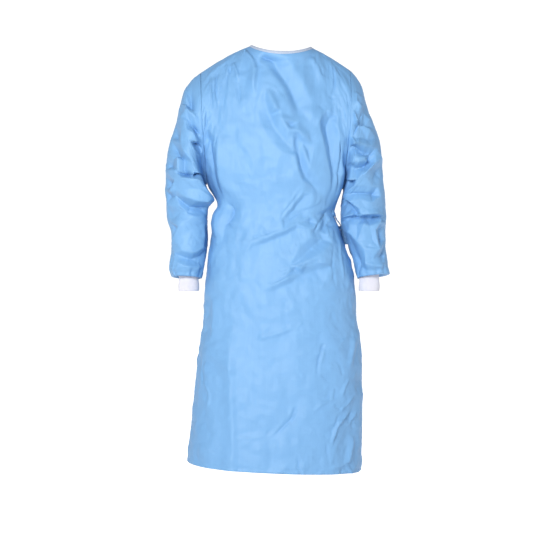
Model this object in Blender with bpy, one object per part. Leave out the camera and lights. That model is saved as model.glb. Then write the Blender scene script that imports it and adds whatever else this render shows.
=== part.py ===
"""A surgical gown in the hollow form it takes on a standing figure, cut and sewn from nonwoven cloth.

Metres, +Z up, +X to the wearer's left, -Y to the front. The origin is the middle of the neck
opening, level with the tops of the shoulders, where the wearer holds the gown up.

Every cut piece is first a grid of points on one shared sheet, so that two pieces meet in the same
points and the same normals along their seam. Each piece then gets its wall on the inner side and
stands a small gap back from its seams.
"""
import math
from collections import namedtuple

import bmesh
import bpy
import numpy as np
from mathutils import Vector
from mathutils.bvhtree import BVHTree

# ---------------------------------------------------------------- driving dimensions
CLOTH = 0.0015            # wall of the nonwoven cloth, with its crumple
KNIT = 0.0022             # wall of the ribbed cuffs
SEAM_GAP = 0.0003         # between two pieces along a seam
SEAM_TAPER = 3.6          # the inner rim stands back this many times farther, as seams twist
CORNER_RELIEF = 2.0       # and the corners where three pieces meet by this many times
LEAST_LEAN = 0.7          # cosine: a wall bent more sharply than this isn't thickened any further
LEAST_CORNER = 0.35       # and a corner sharper than this doesn't move in any farther
FRONT, BACK = -1, 1       # side of the body, as the sign of y
LEFT, RIGHT = 0, 1        # viewer's left and right, where s is 0 and 1

NECK_X = 0.0012           # middle of the neck opening
NECK_HALF_WIDTH = 0.0885
NECK_FRONT = 0.085        # reach of the opening to the front and the back
NECK_BACK = 0.072
NECK_SHOULDER_Z = -0.004  # neck edge at the shoulder seams
NECK_DIP_FRONT = 0.031    # how far the neck edge dips at the front and the back
NECK_DIP_BACK = 0.004

SHOULDER_TIPS = ((-0.2333, -0.078), (0.2047, -0.072))    # x, z at the top of each armhole
SHOULDER_BOW = (0.008, 0.004)                            # how far each shoulder seam bows up
ARMHOLE_ENDS = ((-0.2138, -0.405), (0.1800, -0.418))     # x, z at the foot of each armhole
ARMHOLE_BOW = (0.000, 0.006)                             # how far each armhole bows outwards
ARMHOLE_HALF_DEPTH = 0.090
HEM_SIDES = (-1.207, -1.237)                             # z of the hem at each side seam
HEM_DIP = 0.003

BodySection = namedtuple("BodySection", "z left right front back")
BODY_SECTIONS = (
    BodySection(-0.300, -0.2230, 0.1930, 0.139, 0.136),
    BodySection(-0.400, -0.2145, 0.1820, 0.138, 0.133),
    BodySection(-0.416, -0.2098, 0.1792, 0.136, 0.1295),
    BodySection(-0.430, -0.1995, 0.1765, 0.134, 0.126),
    BodySection(-0.448, -0.1880, 0.1680, 0.131, 0.121),
    BodySection(-0.470, -0.1840, 0.1610, 0.128, 0.116),
    BodySection(-0.490, -0.1885, 0.1570, 0.127, 0.114),
    BodySection(-0.526, -0.1975, 0.1685, 0.131, 0.122),
    BodySection(-0.584, -0.2065, 0.1865, 0.139, 0.137),
    BodySection(-0.640, -0.2135, 0.2075, 0.145, 0.147),
    BodySection(-0.740, -0.2220, 0.2190, 0.153, 0.158),
    BodySection(-0.800, -0.2232, 0.2225, 0.157, 0.162),
    BodySection(-0.860, -0.2330, 0.2335, 0.161, 0.166),
    BodySection(-0.955, -0.2460, 0.2380, 0.168, 0.172),
    BodySection(-1.090, -0.2596, 0.2385, 0.178, 0.180),
    BodySection(-1.250, -0.2760, 0.2350, 0.187, 0.190),
)
BODY_SQUARENESS = 2.35    # 2 is an ellipse, more is squarer

SleeveRing = namedtuple("SleeveRing", "along outer_x outer_z inner_x inner_z half_depth outer_y inner_y")
SLEEVE_RIGHT = (
    SleeveRing(0.00, -0.2333, -0.078, -0.2138, -0.405, 0.090, 0.000, 0.000),
    SleeveRing(0.08, -0.2620, -0.104, -0.2216, -0.4075, 0.094, 0.000, 0.000),
    SleeveRing(0.14, -0.2790, -0.126, -0.2208, -0.412, 0.094, 0.001, 0.001),
    SleeveRing(0.22, -0.2930, -0.174, -0.2150, -0.421, 0.092, 0.003, -0.008),
    SleeveRing(0.32, -0.3080, -0.237, -0.2060, -0.431, 0.088, 0.006, -0.034),
    SleeveRing(0.42, -0.3280, -0.300, -0.1935, -0.443, 0.084, 0.009, -0.048),
    SleeveRing(0.50, -0.3335, -0.352, -0.1910, -0.453, 0.081, 0.010, -0.048),
    SleeveRing(0.56, -0.3362, -0.390, -0.2010, -0.465, 0.079, 0.009, -0.042),
    SleeveRing(0.61, -0.3370, -0.423, -0.2100, -0.477, 0.077, 0.008, -0.032),
    SleeveRing(0.72, -0.3310, -0.496, -0.2125, -0.518, 0.072, 0.000, -0.012),
    SleeveRing(0.82, -0.3185, -0.561, -0.2125, -0.571, 0.066, -0.009, -0.009),
    SleeveRing(0.88, -0.3180, -0.595, -0.2150, -0.602, 0.061, -0.015, -0.015),
    SleeveRing(0.96, -0.3230, -0.648, -0.2240, -0.652, 0.055, -0.022, -0.022),
    SleeveRing(1.00, -0.3170, -0.671, -0.2290, -0.675, 0.052, -0.025, -0.025),
)
SLEEVE_LEFT = (
    SleeveRing(0.00, 0.2047, -0.072, 0.1800, -0.418, 0.090, 0.000, 0.000),
    SleeveRing(0.06, 0.2220, -0.092, 0.1822, -0.421, 0.093, 0.000, 0.000),
    SleeveRing(0.12, 0.2380, -0.120, 0.1824, -0.4255, 0.094, 0.001, 0.001),
    SleeveRing(0.20, 0.2520, -0.174, 0.1815, -0.432, 0.092, 0.003, 0.003),
    SleeveRing(0.30, 0.2740, -0.232, 0.1800, -0.441, 0.088, 0.006, 0.006),
    SleeveRing(0.40, 0.2915, -0.286, 0.1788, -0.450, 0.084, 0.009, 0.009),
    SleeveRing(0.48, 0.2965, -0.330, 0.1778, -0.461, 0.081, 0.010, 0.010),
    SleeveRing(0.54, 0.2980, -0.371, 0.1768, -0.472, 0.079, 0.009, 0.009),
    SleeveRing(0.63, 0.3045, -0.429, 0.1752, -0.490, 0.076, 0.006, 0.006),
    SleeveRing(0.74, 0.3080, -0.502, 0.1755, -0.517, 0.071, -0.001, -0.001),
    SleeveRing(0.80, 0.3065, -0.540, 0.1865, -0.548, 0.067, -0.006, -0.006),
    SleeveRing(0.85, 0.3055, -0.569, 0.1955, -0.575, 0.063, -0.011, -0.011),
    SleeveRing(0.92, 0.3085, -0.618, 0.2100, -0.623, 0.058, -0.018, -0.018),
    SleeveRing(1.00, 0.3160, -0.665, 0.2220, -0.675, 0.052, -0.025, -0.025),
)
ELBOW_ROUND = 0.30        # share of the sleeve over which the armhole's pointed oval turns round

# The sleeve's end turns in and up to the cuff: shares of the way in, and rises
SleeveTurn = namedtuple("SleeveTurn", "inwards rise")
SLEEVE_TURNS = (SleeveTurn(0.10, -0.003), SleeveTurn(0.55, 0.001), SleeveTurn(1.00, 0.008))
CUFF_HALF_WIDTH = 0.0290
CUFF_HALF_DEPTH = 0.034
CUFF_CENTRES = ((-0.2670, -0.024), (0.2570, -0.024))     # x, y of each cuff
CUFF_SEAM_Z = -0.664
CUFF_FOOT_Z = -0.715

OUTER_FLAP_REACH = (0.60, 0.73, 0.78, 0.76)              # share of the back at neck, chest, waist, hem
INNER_FLAP_REACH = (0.42, 0.30, 0.26, 0.28)
FLAP_REACH_ROWS = (0.0, 0.7, 1.1, 2.0)                   # the rows v of those reaches
FLAP_STEP = 0.006                                        # the inner flap lies this far below the outer
FLAP_RAMP = (0.07, 0.13)                                 # and sinks there over this share of the width
FLAP_RAMP_START = 0.02
QUIET_SIDES, QUIET_TOP = 0.09, 0.10                      # no folds this near the side seams and the neck

# Down the yoke each column leaves the top line and arrives at the chest line with these pulls
COLUMN_FAN = 0.20                                        # outwards to the sides, most at the shoulder seams
COLUMN_OUT = (0.22, 0.14)                                # to the front, at the shoulder tips and at the neck
COLUMN_DOWN = (-0.06, -0.28)
CHEST_PULL, CHEST_LOOK = 0.36, 0.01                      # strength, and height over which its way is read
ARMHOLE_REACH = 0.32                                     # share of the width that follows the armhole

BINDING_DROP = 0.009      # how far the neck binding reaches down on the cloth
BINDING_CLOTH = 0.001
BINDING_GAP = 0.0008
BINDING_CORNER_LIFTS = (0.0012, 0.0020, 0.0012)   # its leaves stand off by this round a shoulder seam

SHOULDER_STEPS, NECK_STEPS = 8, 10
WIDTH_STEPS = 2 * SHOULDER_STEPS + NECK_STEPS
SHOULDER_SHARE = SHOULDER_STEPS / WIDTH_STEPS
YOKE_STEPS, SKIRT_STEPS = 10, 24
SKIRT_SPREAD = 1.25       # more than 1 sets the skirt's rows closer at the waist than at the hem
BINDING_ROW = 0.04        # the first row of the yoke lies just below the binding
FLAP_STEPS = (16, 14)     # outer and inner flap
SLEEVE_STEPS = 18
CUFF_STEPS = 4

Fold = namedtuple("Fold", "spine width height")
FRONT_FOLDS = (
    Fold(((-0.050, -0.050), (0.004, -0.096), (0.036, -0.150), (0.060, -0.237)), 0.024, -0.007),
    Fold(((-0.077, -0.063), (-0.069, -0.109), (-0.061, -0.183)), 0.020, 0.005),
    Fold(((-0.034, -0.183), (-0.018, -0.226), (0.028, -0.296)), 0.018, -0.004),
    Fold(((0.049, -0.053), (0.073, -0.093), (0.092, -0.120)), 0.022, -0.005),
    Fold(((0.135, -0.215), (0.130, -0.274), (0.139, -0.328), (0.150, -0.395)), 0.020, -0.011),
    Fold(((0.170, -0.221), (0.170, -0.328)), 0.018, 0.004),
    Fold(((-0.178, -0.250), (-0.177, -0.330), (-0.174, -0.410)), 0.018, -0.008),
    Fold(((-0.150, -0.470), (-0.141, -0.500), (-0.146, -0.548)), 0.018, -0.008),
    Fold(((0.120, -0.487), (0.031, -0.532), (-0.083, -0.580)), 0.018, -0.006),
    Fold(((0.135, -0.530), (0.098, -0.580), (0.058, -0.632)), 0.018, -0.008),
    Fold(((0.136, -0.624), (0.063, -0.648), (-0.029, -0.702)), 0.020, 0.005),
    Fold(((-0.137, -0.840), (-0.139, -1.022), (-0.141, -1.230)), 0.020, 0.006),
    Fold(((0.108, -0.860), (0.102, -0.950), (0.138, -1.010)), 0.022, -0.005),
    Fold(((0.195, -1.090), (0.182, -1.180), (0.190, -1.240)), 0.020, -0.009),
    Fold(((0.043, -1.029), (-0.020, -1.104), (-0.040, -1.240)), 0.024, -0.005),
)
BACK_FOLDS = (
    Fold(((0.090, -0.070), (0.060, -0.150), (0.050, -0.260)), 0.024, -0.007),
    Fold(((-0.100, -0.080), (-0.080, -0.160), (-0.075, -0.270)), 0.024, -0.006),
    Fold(((-0.175, -0.220), (-0.165, -0.320), (-0.140, -0.420)), 0.020, -0.009),
    Fold(((0.160, -0.220), (0.150, -0.300), (0.120, -0.400)), 0.020, -0.008),
    Fold(((0.020, -0.500), (-0.060, -0.540), (-0.140, -0.600)), 0.020, -0.007),
    Fold(((0.050, -0.520), (0.020, -0.590), (-0.050, -0.680)), 0.020, -0.007),
    Fold(((-0.060, -0.440), (-0.120, -0.460), (-0.150, -0.480)), 0.018, 0.005),
    Fold(((0.030, -0.760), (0.010, -0.950), (0.015, -1.230)), 0.028, 0.008),
    Fold(((-0.110, -0.820), (-0.130, -1.000), (-0.140, -1.230)), 0.026, 0.007),
    Fold(((-0.040, -0.900), (-0.055, -1.050), (-0.060, -1.230)), 0.024, -0.006),
    Fold(((0.150, -0.860), (0.165, -1.040), (0.175, -1.230)), 0.024, -0.007),
)
SLEEVE_FRONT_FOLDS = (
    Fold(((-0.268, -0.229), (-0.250, -0.262)), 0.016, -0.009),
    Fold(((-0.268, -0.285), (-0.252, -0.310)), 0.016, -0.008),
    Fold(((-0.296, -0.215), (-0.286, -0.255), (-0.315, -0.305)), 0.018, -0.005),
    Fold(((-0.300, -0.380), (-0.258, -0.386), (-0.232, -0.396)), 0.016, -0.009),
    Fold(((-0.300, -0.440), (-0.271, -0.460), (-0.232, -0.476)), 0.018, -0.007),
    Fold(((-0.285, -0.480), (-0.262, -0.500), (-0.295, -0.535)), 0.018, 0.005),
    Fold(((-0.300, -0.600), (-0.276, -0.616), (-0.240, -0.606)), 0.016, -0.006),
    Fold(((0.229, -0.175), (0.215, -0.230), (0.205, -0.280)), 0.018, -0.006),
    Fold(((0.252, -0.210), (0.246, -0.275)), 0.018, -0.004),
    Fold(((0.205, -0.316), (0.237, -0.319), (0.272, -0.317)), 0.016, -0.006),
    Fold(((0.280, -0.360), (0.257, -0.393), (0.218, -0.410)), 0.018, -0.008),
    Fold(((0.200, -0.440), (0.278, -0.436)), 0.016, 0.005),
    Fold(((0.200, -0.503), (0.240, -0.501), (0.290, -0.503)), 0.016, -0.009),
    Fold(((0.290, -0.530), (0.288, -0.570)), 0.016, -0.006),
)
SLEEVE_BACK_FOLDS = (
    Fold(((-0.268, -0.250), (-0.252, -0.290)), 0.018, -0.009),
    Fold(((-0.300, -0.330), (-0.258, -0.350), (-0.236, -0.380)), 0.018, -0.007),
    Fold(((-0.310, -0.420), (-0.270, -0.440), (-0.235, -0.470)), 0.018, 0.006),
    Fold(((-0.300, -0.520), (-0.262, -0.535)), 0.018, -0.007),
    Fold(((-0.300, -0.600), (-0.250, -0.612)), 0.018, -0.005),
    Fold(((0.240, -0.240), (0.226, -0.285)), 0.018, -0.009),
    Fold(((0.275, -0.330), (0.240, -0.355), (0.212, -0.390)), 0.018, -0.007),
    Fold(((0.285, -0.430), (0.240, -0.450), (0.205, -0.470)), 0.018, 0.006),
    Fold(((0.285, -0.520), (0.240, -0.540)), 0.018, -0.007),
    Fold(((0.295, -0.600), (0.245, -0.615)), 0.018, -0.005),
)

# ---------------------------------------------------------------- waist tie and neck tab
TIE_WIDTH = 0.016         # the tie's cloth is folded lengthwise and crumpled narrow
TIE_NECK = 0.007          # its width where it enters the knot
TIE_CLOTH = 0.0015
TIE_CLEAR = 0.0035        # above the cloth it lies on
TIE_ROOT_CLEAR = 0.0018   # and where it is sewn on
KNOT_CENTRE = (0.1822, 0.040, -0.5300)
KNOT_RADII = (0.0075, 0.013, 0.0085)
KNOT_GAP = 0.0010
Bow = namedtuple("Bow", "name root_y root_z lean_x lean_y length")
BOWS = (Bow("waist_bow_front", -0.0082, -0.0062, 0.012, -0.012, 0.042),
        Bow("waist_bow_back", 0.0082, -0.0068, 0.000, 0.006, 0.036))
BOW_WIDTH, BOW_HALF_GIRTH = 0.012, 0.0065
BOW_TURN = 0.86           # how far each bow turns round, as a share of a closed loop
TieEnd = namedtuple("TieEnd", "name leaves_up lean_x lean_y length")
TIE_ENDS = (TieEnd("waist_end_front", -0.33, 0.008, 0.026, 0.105),
            TieEnd("waist_end_back", 0.15, -0.004, 0.044, 0.120))
END_DROOP = 1.6           # how soon an end turns down
END_WIDTH = 0.013
TIE_FRONT_S, TIE_FRONT_V = (0.900, 0.999), (1.085, 1.108)  # sewn on beside the side seam
TIE_BACK_S, TIE_BACK_V = (0.785, 0.960), (1.095, 1.138)    # and on the outer flap's edge
TAB_LENGTH, TAB_WIDTH, TAB_CLOTH = 0.058, 0.024, 0.0015
TAB_ROW = 0.115           # the row v of the yoke on which the neck tab lies
TAB_UNDER = 0.45          # share of the tab on the inner flap's side of the outer flap's edge
LOOK_HEIGHT = 0.030       # from how far out the cloth is looked at, to lay strips on it
LOOK_SHARES = (-0.5, -0.25, 0.0, 0.25, 0.5)                # places across a strip

Finish = namedtuple("Finish", "colour roughness")
BLUE_CLOTH = Finish((0.290, 0.530, 0.900, 1.0), 0.62)
PALE_CLOTH = Finish((0.660, 0.760, 0.920, 1.0), 0.60)
WHITE_KNIT = Finish((0.880, 0.880, 0.910, 1.0), 0.85)


# ---------------------------------------------------------------- small helpers
def ease(share):
    """A smooth step from 0 to 1."""
    share = np.clip(share, 0.0, 1.0)
    return share * share * (3.0 - 2.0 * share)


def mix(start, end, share):
    return start + (end - start) * share


def column(rows, name):
    return np.array([getattr(row, name) for row in rows])


def smooth_curve(keys, values, at):
    """A cubic through the values that never overshoots them, read at the given keys."""
    step = np.diff(keys)
    slope = np.diff(values) / step
    turn = np.zeros(len(keys))
    turn[0], turn[-1] = slope[0], slope[-1]
    same = slope[:-1] * slope[1:] > 0
    before, after = slope[:-1][same], slope[1:][same]
    turn[1:-1][same] = 2.0 * before * after / (before + after)
    place = np.clip(np.searchsorted(keys, at, side="right") - 1, 0, len(keys) - 2)
    share = np.clip((at - keys[place]) / step[place], 0.0, 1.0)
    low, high = values[place], values[place + 1]
    return (low * (1 + 2 * share) * (1 - share) ** 2 + high * share ** 2 * (3 - 2 * share)
            + step[place] * (turn[place] * share * (1 - share) ** 2
                             - turn[place + 1] * share ** 2 * (1 - share)))


def stack(x, y, z):
    return np.stack(np.broadcast_arrays(x, y, z), axis=-1).astype(float)


# ---------------------------------------------------------------- body of the gown
def half_section(s):
    """Half of a body section with a half width and depth of 1, walked in equal steps of length."""
    angle = np.linspace(math.pi, 0.0, 721)
    across = np.sign(np.cos(angle)) * np.abs(np.cos(angle)) ** (2 / BODY_SQUARENESS)
    out = np.abs(np.sin(angle)) ** (2 / BODY_SQUARENESS)
    length = np.hypot(np.diff(across) * 0.22, np.diff(out) * 0.15)
    walked = np.concatenate(([0.0], np.cumsum(length)))
    walked /= walked[-1]
    return np.interp(s, walked, across), np.interp(s, walked, out)


def body_at_height(side, s, z):
    """A point of the closed body tube at the height z."""
    keys = -column(BODY_SECTIONS, "z")
    left = smooth_curve(keys, column(BODY_SECTIONS, "left"), -z)
    right = smooth_curve(keys, column(BODY_SECTIONS, "right"), -z)
    depth = smooth_curve(keys, column(BODY_SECTIONS, "front" if side == FRONT else "back"), -z)
    across, out = half_section(s)
    return stack((left + right) / 2 + (right - left) / 2 * across, side * depth * out, z)


def chest_height(s):
    return mix(ARMHOLE_ENDS[LEFT][1], ARMHOLE_ENDS[RIGHT][1], s)


def skirt(side, s, share):
    """Below the armholes: share 0 is the chest line and 1 is the hem."""
    hem = mix(HEM_SIDES[LEFT], HEM_SIDES[RIGHT], s) - HEM_DIP * np.sin(math.pi * s)
    return body_at_height(side, s, mix(chest_height(s), hem, share))


def top_line(side, s):
    """Shoulder seam, neck edge and the other shoulder seam, as s goes from 0 to 1."""
    turn = np.clip((s - SHOULDER_SHARE) / (1 - 2 * SHOULDER_SHARE), 0.0, 1.0) * math.pi - math.pi / 2
    reach = NECK_FRONT if side == FRONT else NECK_BACK
    dip = NECK_DIP_FRONT if side == FRONT else NECK_DIP_BACK
    round_part = np.maximum(np.cos(turn), 0.0)
    neck = stack(NECK_X + NECK_HALF_WIDTH * np.sin(turn), side * reach * round_part,
                 NECK_SHOULDER_Z - dip * round_part ** 1.5)
    end_x, end_z, bow = (np.where(s < 0.5, pair[LEFT], pair[RIGHT]) for pair in (
        [tip[0] for tip in SHOULDER_TIPS], [tip[1] for tip in SHOULDER_TIPS], SHOULDER_BOW))
    share = np.minimum(s, 1 - s) / SHOULDER_SHARE
    shoulder = stack(mix(end_x, neck[..., 0], share), 0.0,
                     mix(end_z, neck[..., 2], share) + bow * np.sin(math.pi * np.clip(share, 0, 1)))
    return np.where((share < 1)[..., None], shoulder, neck)


def armhole(side, end, t):
    """The front or back edge of an armhole, a pointed oval, from the shoulder to the underarm."""
    tip, foot = SHOULDER_TIPS[end], ARMHOLE_ENDS[end]
    outwards = 1 if end == RIGHT else -1
    x = mix(tip[0], foot[0], t) + outwards * ARMHOLE_BOW[end] * np.sin(math.pi * t)
    return stack(x, side * ARMHOLE_HALF_DEPTH * np.sin(math.pi * t ** 0.8), mix(tip[1], foot[1], t))


def yoke_column(side, s, t):
    """Cloth that hangs from the top line to the chest line."""
    from_tip = np.minimum(s, 1 - s)
    at_neck = ease((from_tip - 0.6 * SHOULDER_SHARE) / (0.5 - 0.6 * SHOULDER_SHARE))
    fan = np.where(from_tip < SHOULDER_SHARE, (from_tip / SHOULDER_SHARE) ** 2,
                   np.cos(math.pi / 2 * (from_tip - SHOULDER_SHARE) / (0.5 - SHOULDER_SHARE)))
    leave = stack(np.where(s < 0.5, -COLUMN_FAN, COLUMN_FAN) * fan,
                  side * mix(*COLUMN_OUT, at_neck), mix(*COLUMN_DOWN, at_neck))
    top, chest = top_line(side, s), skirt(side, s, 0.0)
    below = body_at_height(side, s, chest_height(s) - CHEST_LOOK)
    arrive = (below - chest) / CHEST_LOOK * CHEST_PULL
    t = t[..., None]
    return (top * (1 + 2 * t) * (1 - t) ** 2 + leave * t * (1 - t) ** 2
            + chest * t * t * (3 - 2 * t) - arrive * t * t * (1 - t))


def yoke(side, s, t):
    """Above the chest line: t 0 is the top line and 1 is the chest line."""
    place = yoke_column(side, s, t)
    for end, distance in ((LEFT, s), (RIGHT, 1 - s)):
        edge = np.full_like(s, float(end))
        pull = np.clip(1 - distance / ARMHOLE_REACH, 0.0, 1.0) ** 2
        place = place + (armhole(side, end, t) - yoke_column(side, edge, t)) * pull[..., None]
    return place


def body(side, s, v):
    """The gown's body: v runs 0 to 1 down the yoke and 1 to 2 down the skirt."""
    s, v = np.broadcast_arrays(np.asarray(s, float), np.asarray(v, float))
    upper = yoke(side, s, np.clip(v, 0.0, 1.0))
    lower = skirt(side, s, np.clip(v - 1, 0.0, 1.0))
    return np.where((v < 1)[..., None], upper, lower)


# ---------------------------------------------------------------- folds and layers
def fold_height(folds, x, z):
    """Sum of the folds at a place in the view from the front."""
    total = np.zeros_like(x)
    for fold in folds:
        nearest = np.full_like(x, 1.0)
        for (x0, z0), (x1, z1) in zip(fold.spine, fold.spine[1:]):
            length = (x1 - x0) ** 2 + (z1 - z0) ** 2
            share = np.clip(((x - x0) * (x1 - x0) + (z - z0) * (z1 - z0)) / length, 0.0, 1.0)
            nearest = np.minimum(nearest, np.hypot(x - mix(x0, x1, share), z - mix(z0, z1, share)))
        total += fold.height * np.exp(-((nearest / fold.width) ** 2))
    return total


def flap_reach(reaches, v):
    return smooth_curve(np.array(FLAP_REACH_ROWS), np.array(reaches), v)


def body_push(side, s, v, place, inner_layer):
    """How far folds and layers move the body cloth out along its normal."""
    quiet_at_sides = ease(np.minimum(s, 1 - s) / QUIET_SIDES)
    quiet_at_top = ease((v - BINDING_ROW) / QUIET_TOP)
    folds = FRONT_FOLDS if side == FRONT else BACK_FOLDS
    push = fold_height(folds, place[..., 0], place[..., 2]) * quiet_at_sides * quiet_at_top
    if inner_layer:
        ramp = mix(*FLAP_RAMP, ease(v))
        edge = flap_reach(OUTER_FLAP_REACH, v) + FLAP_RAMP_START
        push = push - FLAP_STEP * ease((edge + ramp - s) / ramp)
    return push


def body_cloth(side, s, v, inner_layer=False):
    """A finished point of the body and its normal."""
    s, v = np.broadcast_arrays(np.asarray(s, float), np.asarray(v, float))
    tiny = 1e-4
    s_low, s_high = np.maximum(s - tiny, 0), np.minimum(s + tiny, 1)
    v_low, v_high = np.maximum(v - tiny, 0), np.minimum(v + tiny, 2)
    normal = np.cross(body(side, s_high, v) - body(side, s_low, v),
                      body(side, s, v_high) - body(side, s, v_low)) * side
    normal /= np.maximum(np.linalg.norm(normal, axis=-1, keepdims=True), 1e-12)
    place = body(side, s, v)
    push = body_push(side, s, v, place, inner_layer)
    return place + normal * push[..., None], normal


# ---------------------------------------------------------------- sleeves
def sleeve(rings, end, t, along, half):
    """A sleeve point: t goes from the top line (0) to the underarm line (1) on one half."""
    keys = column(rings, "along")
    ring = {name: smooth_curve(keys, column(rings, name), along)
            for name in SleeveRing._fields if name != "along"}
    outer = stack(ring["outer_x"], ring["outer_y"], ring["outer_z"])
    inner = stack(ring["inner_x"], ring["inner_y"], ring["inner_z"])
    roundness = ease(along / ELBOW_ROUND)
    down = mix(t, (1 - np.cos(math.pi * t)) / 2, roundness)
    out = mix(np.sin(math.pi * t ** 0.8), np.sin(math.pi * t), roundness)
    place = outer + (inner - outer) * down[..., None]
    place[..., 1] += half * ring["half_depth"] * out
    outwards = 1 if end == RIGHT else -1
    place[..., 0] += outwards * ARMHOLE_BOW[end] * np.sin(math.pi * t) * (1 - roundness)
    folds = SLEEVE_FRONT_FOLDS if half == FRONT else SLEEVE_BACK_FOLDS
    quiet = ease((along - 0.03) / 0.17) * ease((1 - along) / 0.05) * np.sin(math.pi * t) ** 0.7
    push = fold_height(folds, place[..., 0], place[..., 2]) * quiet
    centre = (outer + inner) / 2
    away = place - centre
    away /= np.linalg.norm(away, axis=-1, keepdims=True)
    return place + away * push[..., None]


def cuff_ring(end, t, z, half):
    centre = CUFF_CENTRES[end]
    outwards = 1 if end == RIGHT else -1
    return stack(centre[0] + outwards * CUFF_HALF_WIDTH * np.cos(math.pi * t),
                 centre[1] + half * CUFF_HALF_DEPTH * np.sin(math.pi * t), z)


# ---------------------------------------------------------------- the shared sheet
class Sheet:
    """All cut pieces as one sheet of triangles, which gives seams the same points and normals."""

    def __init__(self):
        self.mesh = bmesh.new()
        self.piece_of = self.mesh.faces.layers.int.new("piece")
        self.names = []

    def add_grid(self, name, points, flip=False):
        """Add a grid of points, rows by columns, whose faces look outwards."""
        if name not in self.names:
            self.names.append(name)
        corners = [[self.mesh.verts.new(place) for place in row] for row in points]
        for upper, lower in zip(corners, corners[1:]):
            for left in range(len(upper) - 1):
                loop = [upper[left], lower[left], lower[left + 1], upper[left + 1]]
                face = self.mesh.faces.new(reversed(loop) if flip else loop)
                face[self.piece_of] = self.names.index(name)

    def sew(self):
        """Join the points that pieces share and cut every face into triangles."""
        bmesh.ops.remove_doubles(self.mesh, verts=self.mesh.verts[:], dist=1e-5)
        bmesh.ops.triangulate(self.mesh, faces=self.mesh.faces[:], quad_method="SHORT_EDGE")
        self.mesh.normal_update()
        self.mesh.verts.index_update()

    def wall(self, name, thickness):
        """One piece as a closed wall that stands back from its seams."""
        number = self.names.index(name)
        faces = [face for face in self.mesh.faces if face[self.piece_of] == number]
        shift = self.seam_shift(faces, number)
        own = {}
        for face in faces:
            for vert in face.verts:
                own[vert.index] = own.get(vert.index, Vector()) + face.normal * face.calc_area()
        wall = bmesh.new()
        source = wall.verts.layers.int.new("source")
        made = {}
        self.mesh.verts.ensure_lookup_table()
        for index in own:
            made[index] = wall.verts.new(self.mesh.verts[index].co + shift.get(index, Vector()))
            made[index][source] = index
        for face in faces:
            wall.faces.new([made[vert.index] for vert in face.verts])
        inner = wall.verts[:]
        bmesh.ops.extrude_face_region(wall, geom=wall.faces[:], use_keep_orig=True)
        for vert in inner:
            shared = self.mesh.verts[vert[source]].normal
            lean = max(shared.dot(own[vert[source]].normalized()), LEAST_LEAN)
            vert.co -= shared * (thickness / lean)
            vert.co += shift.get(vert[source], Vector()) * SEAM_TAPER
        bmesh.ops.recalc_face_normals(wall, faces=wall.faces[:])
        return wall

    def seam_shift(self, faces, number):
        """How far each seam point of a piece moves in, so that half of the gap is on its side."""
        inwards = {}
        for face in faces:
            for loop in face.loops:
                others = [f for f in loop.edge.link_faces if f[self.piece_of] != number]
                if not others:
                    continue
                start, end = loop.vert, loop.link_loop_next.vert
                for vert in (start, end):
                    way = vert.normal.cross(end.co - start.co).normalized()
                    inwards.setdefault(vert.index, []).append(way)
        self.mesh.verts.ensure_lookup_table()
        shift = {}
        for index, ways in inwards.items():
            total = ways[0] if len(ways) == 1 else ways[0] + ways[1]
            share = 1.0 if len(ways) == 1 else max(1 + ways[0].dot(ways[1]), LEAST_CORNER)
            meeting = {face[self.piece_of] for face in self.mesh.verts[index].link_faces}
            relief = CORNER_RELIEF if len(meeting) > 2 else 1.0
            shift[index] = total * (SEAM_GAP / 2 / share * relief)
        return shift


# ---------------------------------------------------------------- Blender objects
def material(name, finish):
    made = bpy.data.materials.new(name)
    made.use_nodes = True
    shader = made.node_tree.nodes["Principled BSDF"]
    shader.inputs["Base Color"].default_value = finish.colour
    shader.inputs["Roughness"].default_value = finish.roughness
    shader.inputs["Metallic"].default_value = 0.0
    return made


def place_object(name, mesh, finish):
    """Turn a bmesh into a named object with its own material."""
    data = bpy.data.meshes.new(name)
    mesh.to_mesh(data)
    mesh.free()
    data.materials.append(material(name, finish))
    data.shade_smooth()
    data.set_sharp_from_angle(angle=math.radians(50))
    made = bpy.data.objects.new(name, data)
    bpy.context.scene.collection.objects.link(made)
    return made


def swept_solid(stations):
    """A closed solid from a row of equal cross-sections, each a closed loop of points."""
    mesh = bmesh.new()
    loops = [[mesh.verts.new(place) for place in loop] for loop in stations]
    count = len(loops[0])
    for near, far in zip(loops, loops[1:]):
        for corner in range(count):
            after = (corner + 1) % count
            mesh.faces.new([near[corner], near[after], far[after], far[corner]])
    mesh.faces.new(list(reversed(loops[0])))
    mesh.faces.new(loops[-1])
    bmesh.ops.triangulate(mesh, faces=mesh.faces[:], quad_method="SHORT_EDGE")
    bmesh.ops.recalc_face_normals(mesh, faces=mesh.faces[:])
    return mesh


def ribbon(route, faces_to, widths, thickness):
    """A flat strip along a route; faces_to gives its face's normal at each point."""
    route, faces_to = np.asarray(route, float), np.asarray(faces_to, float)
    run = np.gradient(route, axis=0)
    run /= np.linalg.norm(run, axis=1, keepdims=True)
    across = np.cross(run, faces_to)
    across /= np.linalg.norm(across, axis=1, keepdims=True)
    up = np.cross(across, run)
    half = across * (np.asarray(widths, float) / 2)[:, None]
    lift = up * thickness / 2
    return swept_solid(np.stack([route - half - lift, route + half - lift,
                                 route + half + lift, route - half + lift], axis=1))


# ---------------------------------------------------------------- the pieces
def yoke_rows():
    return [0.0] + [mix(BINDING_ROW, 1.0, i / YOKE_STEPS) for i in range(YOKE_STEPS + 1)]


def body_rows():
    return np.array(yoke_rows() + [1 + (i / SKIRT_STEPS) ** SKIRT_SPREAD
                                   for i in range(1, SKIRT_STEPS + 1)])


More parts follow.
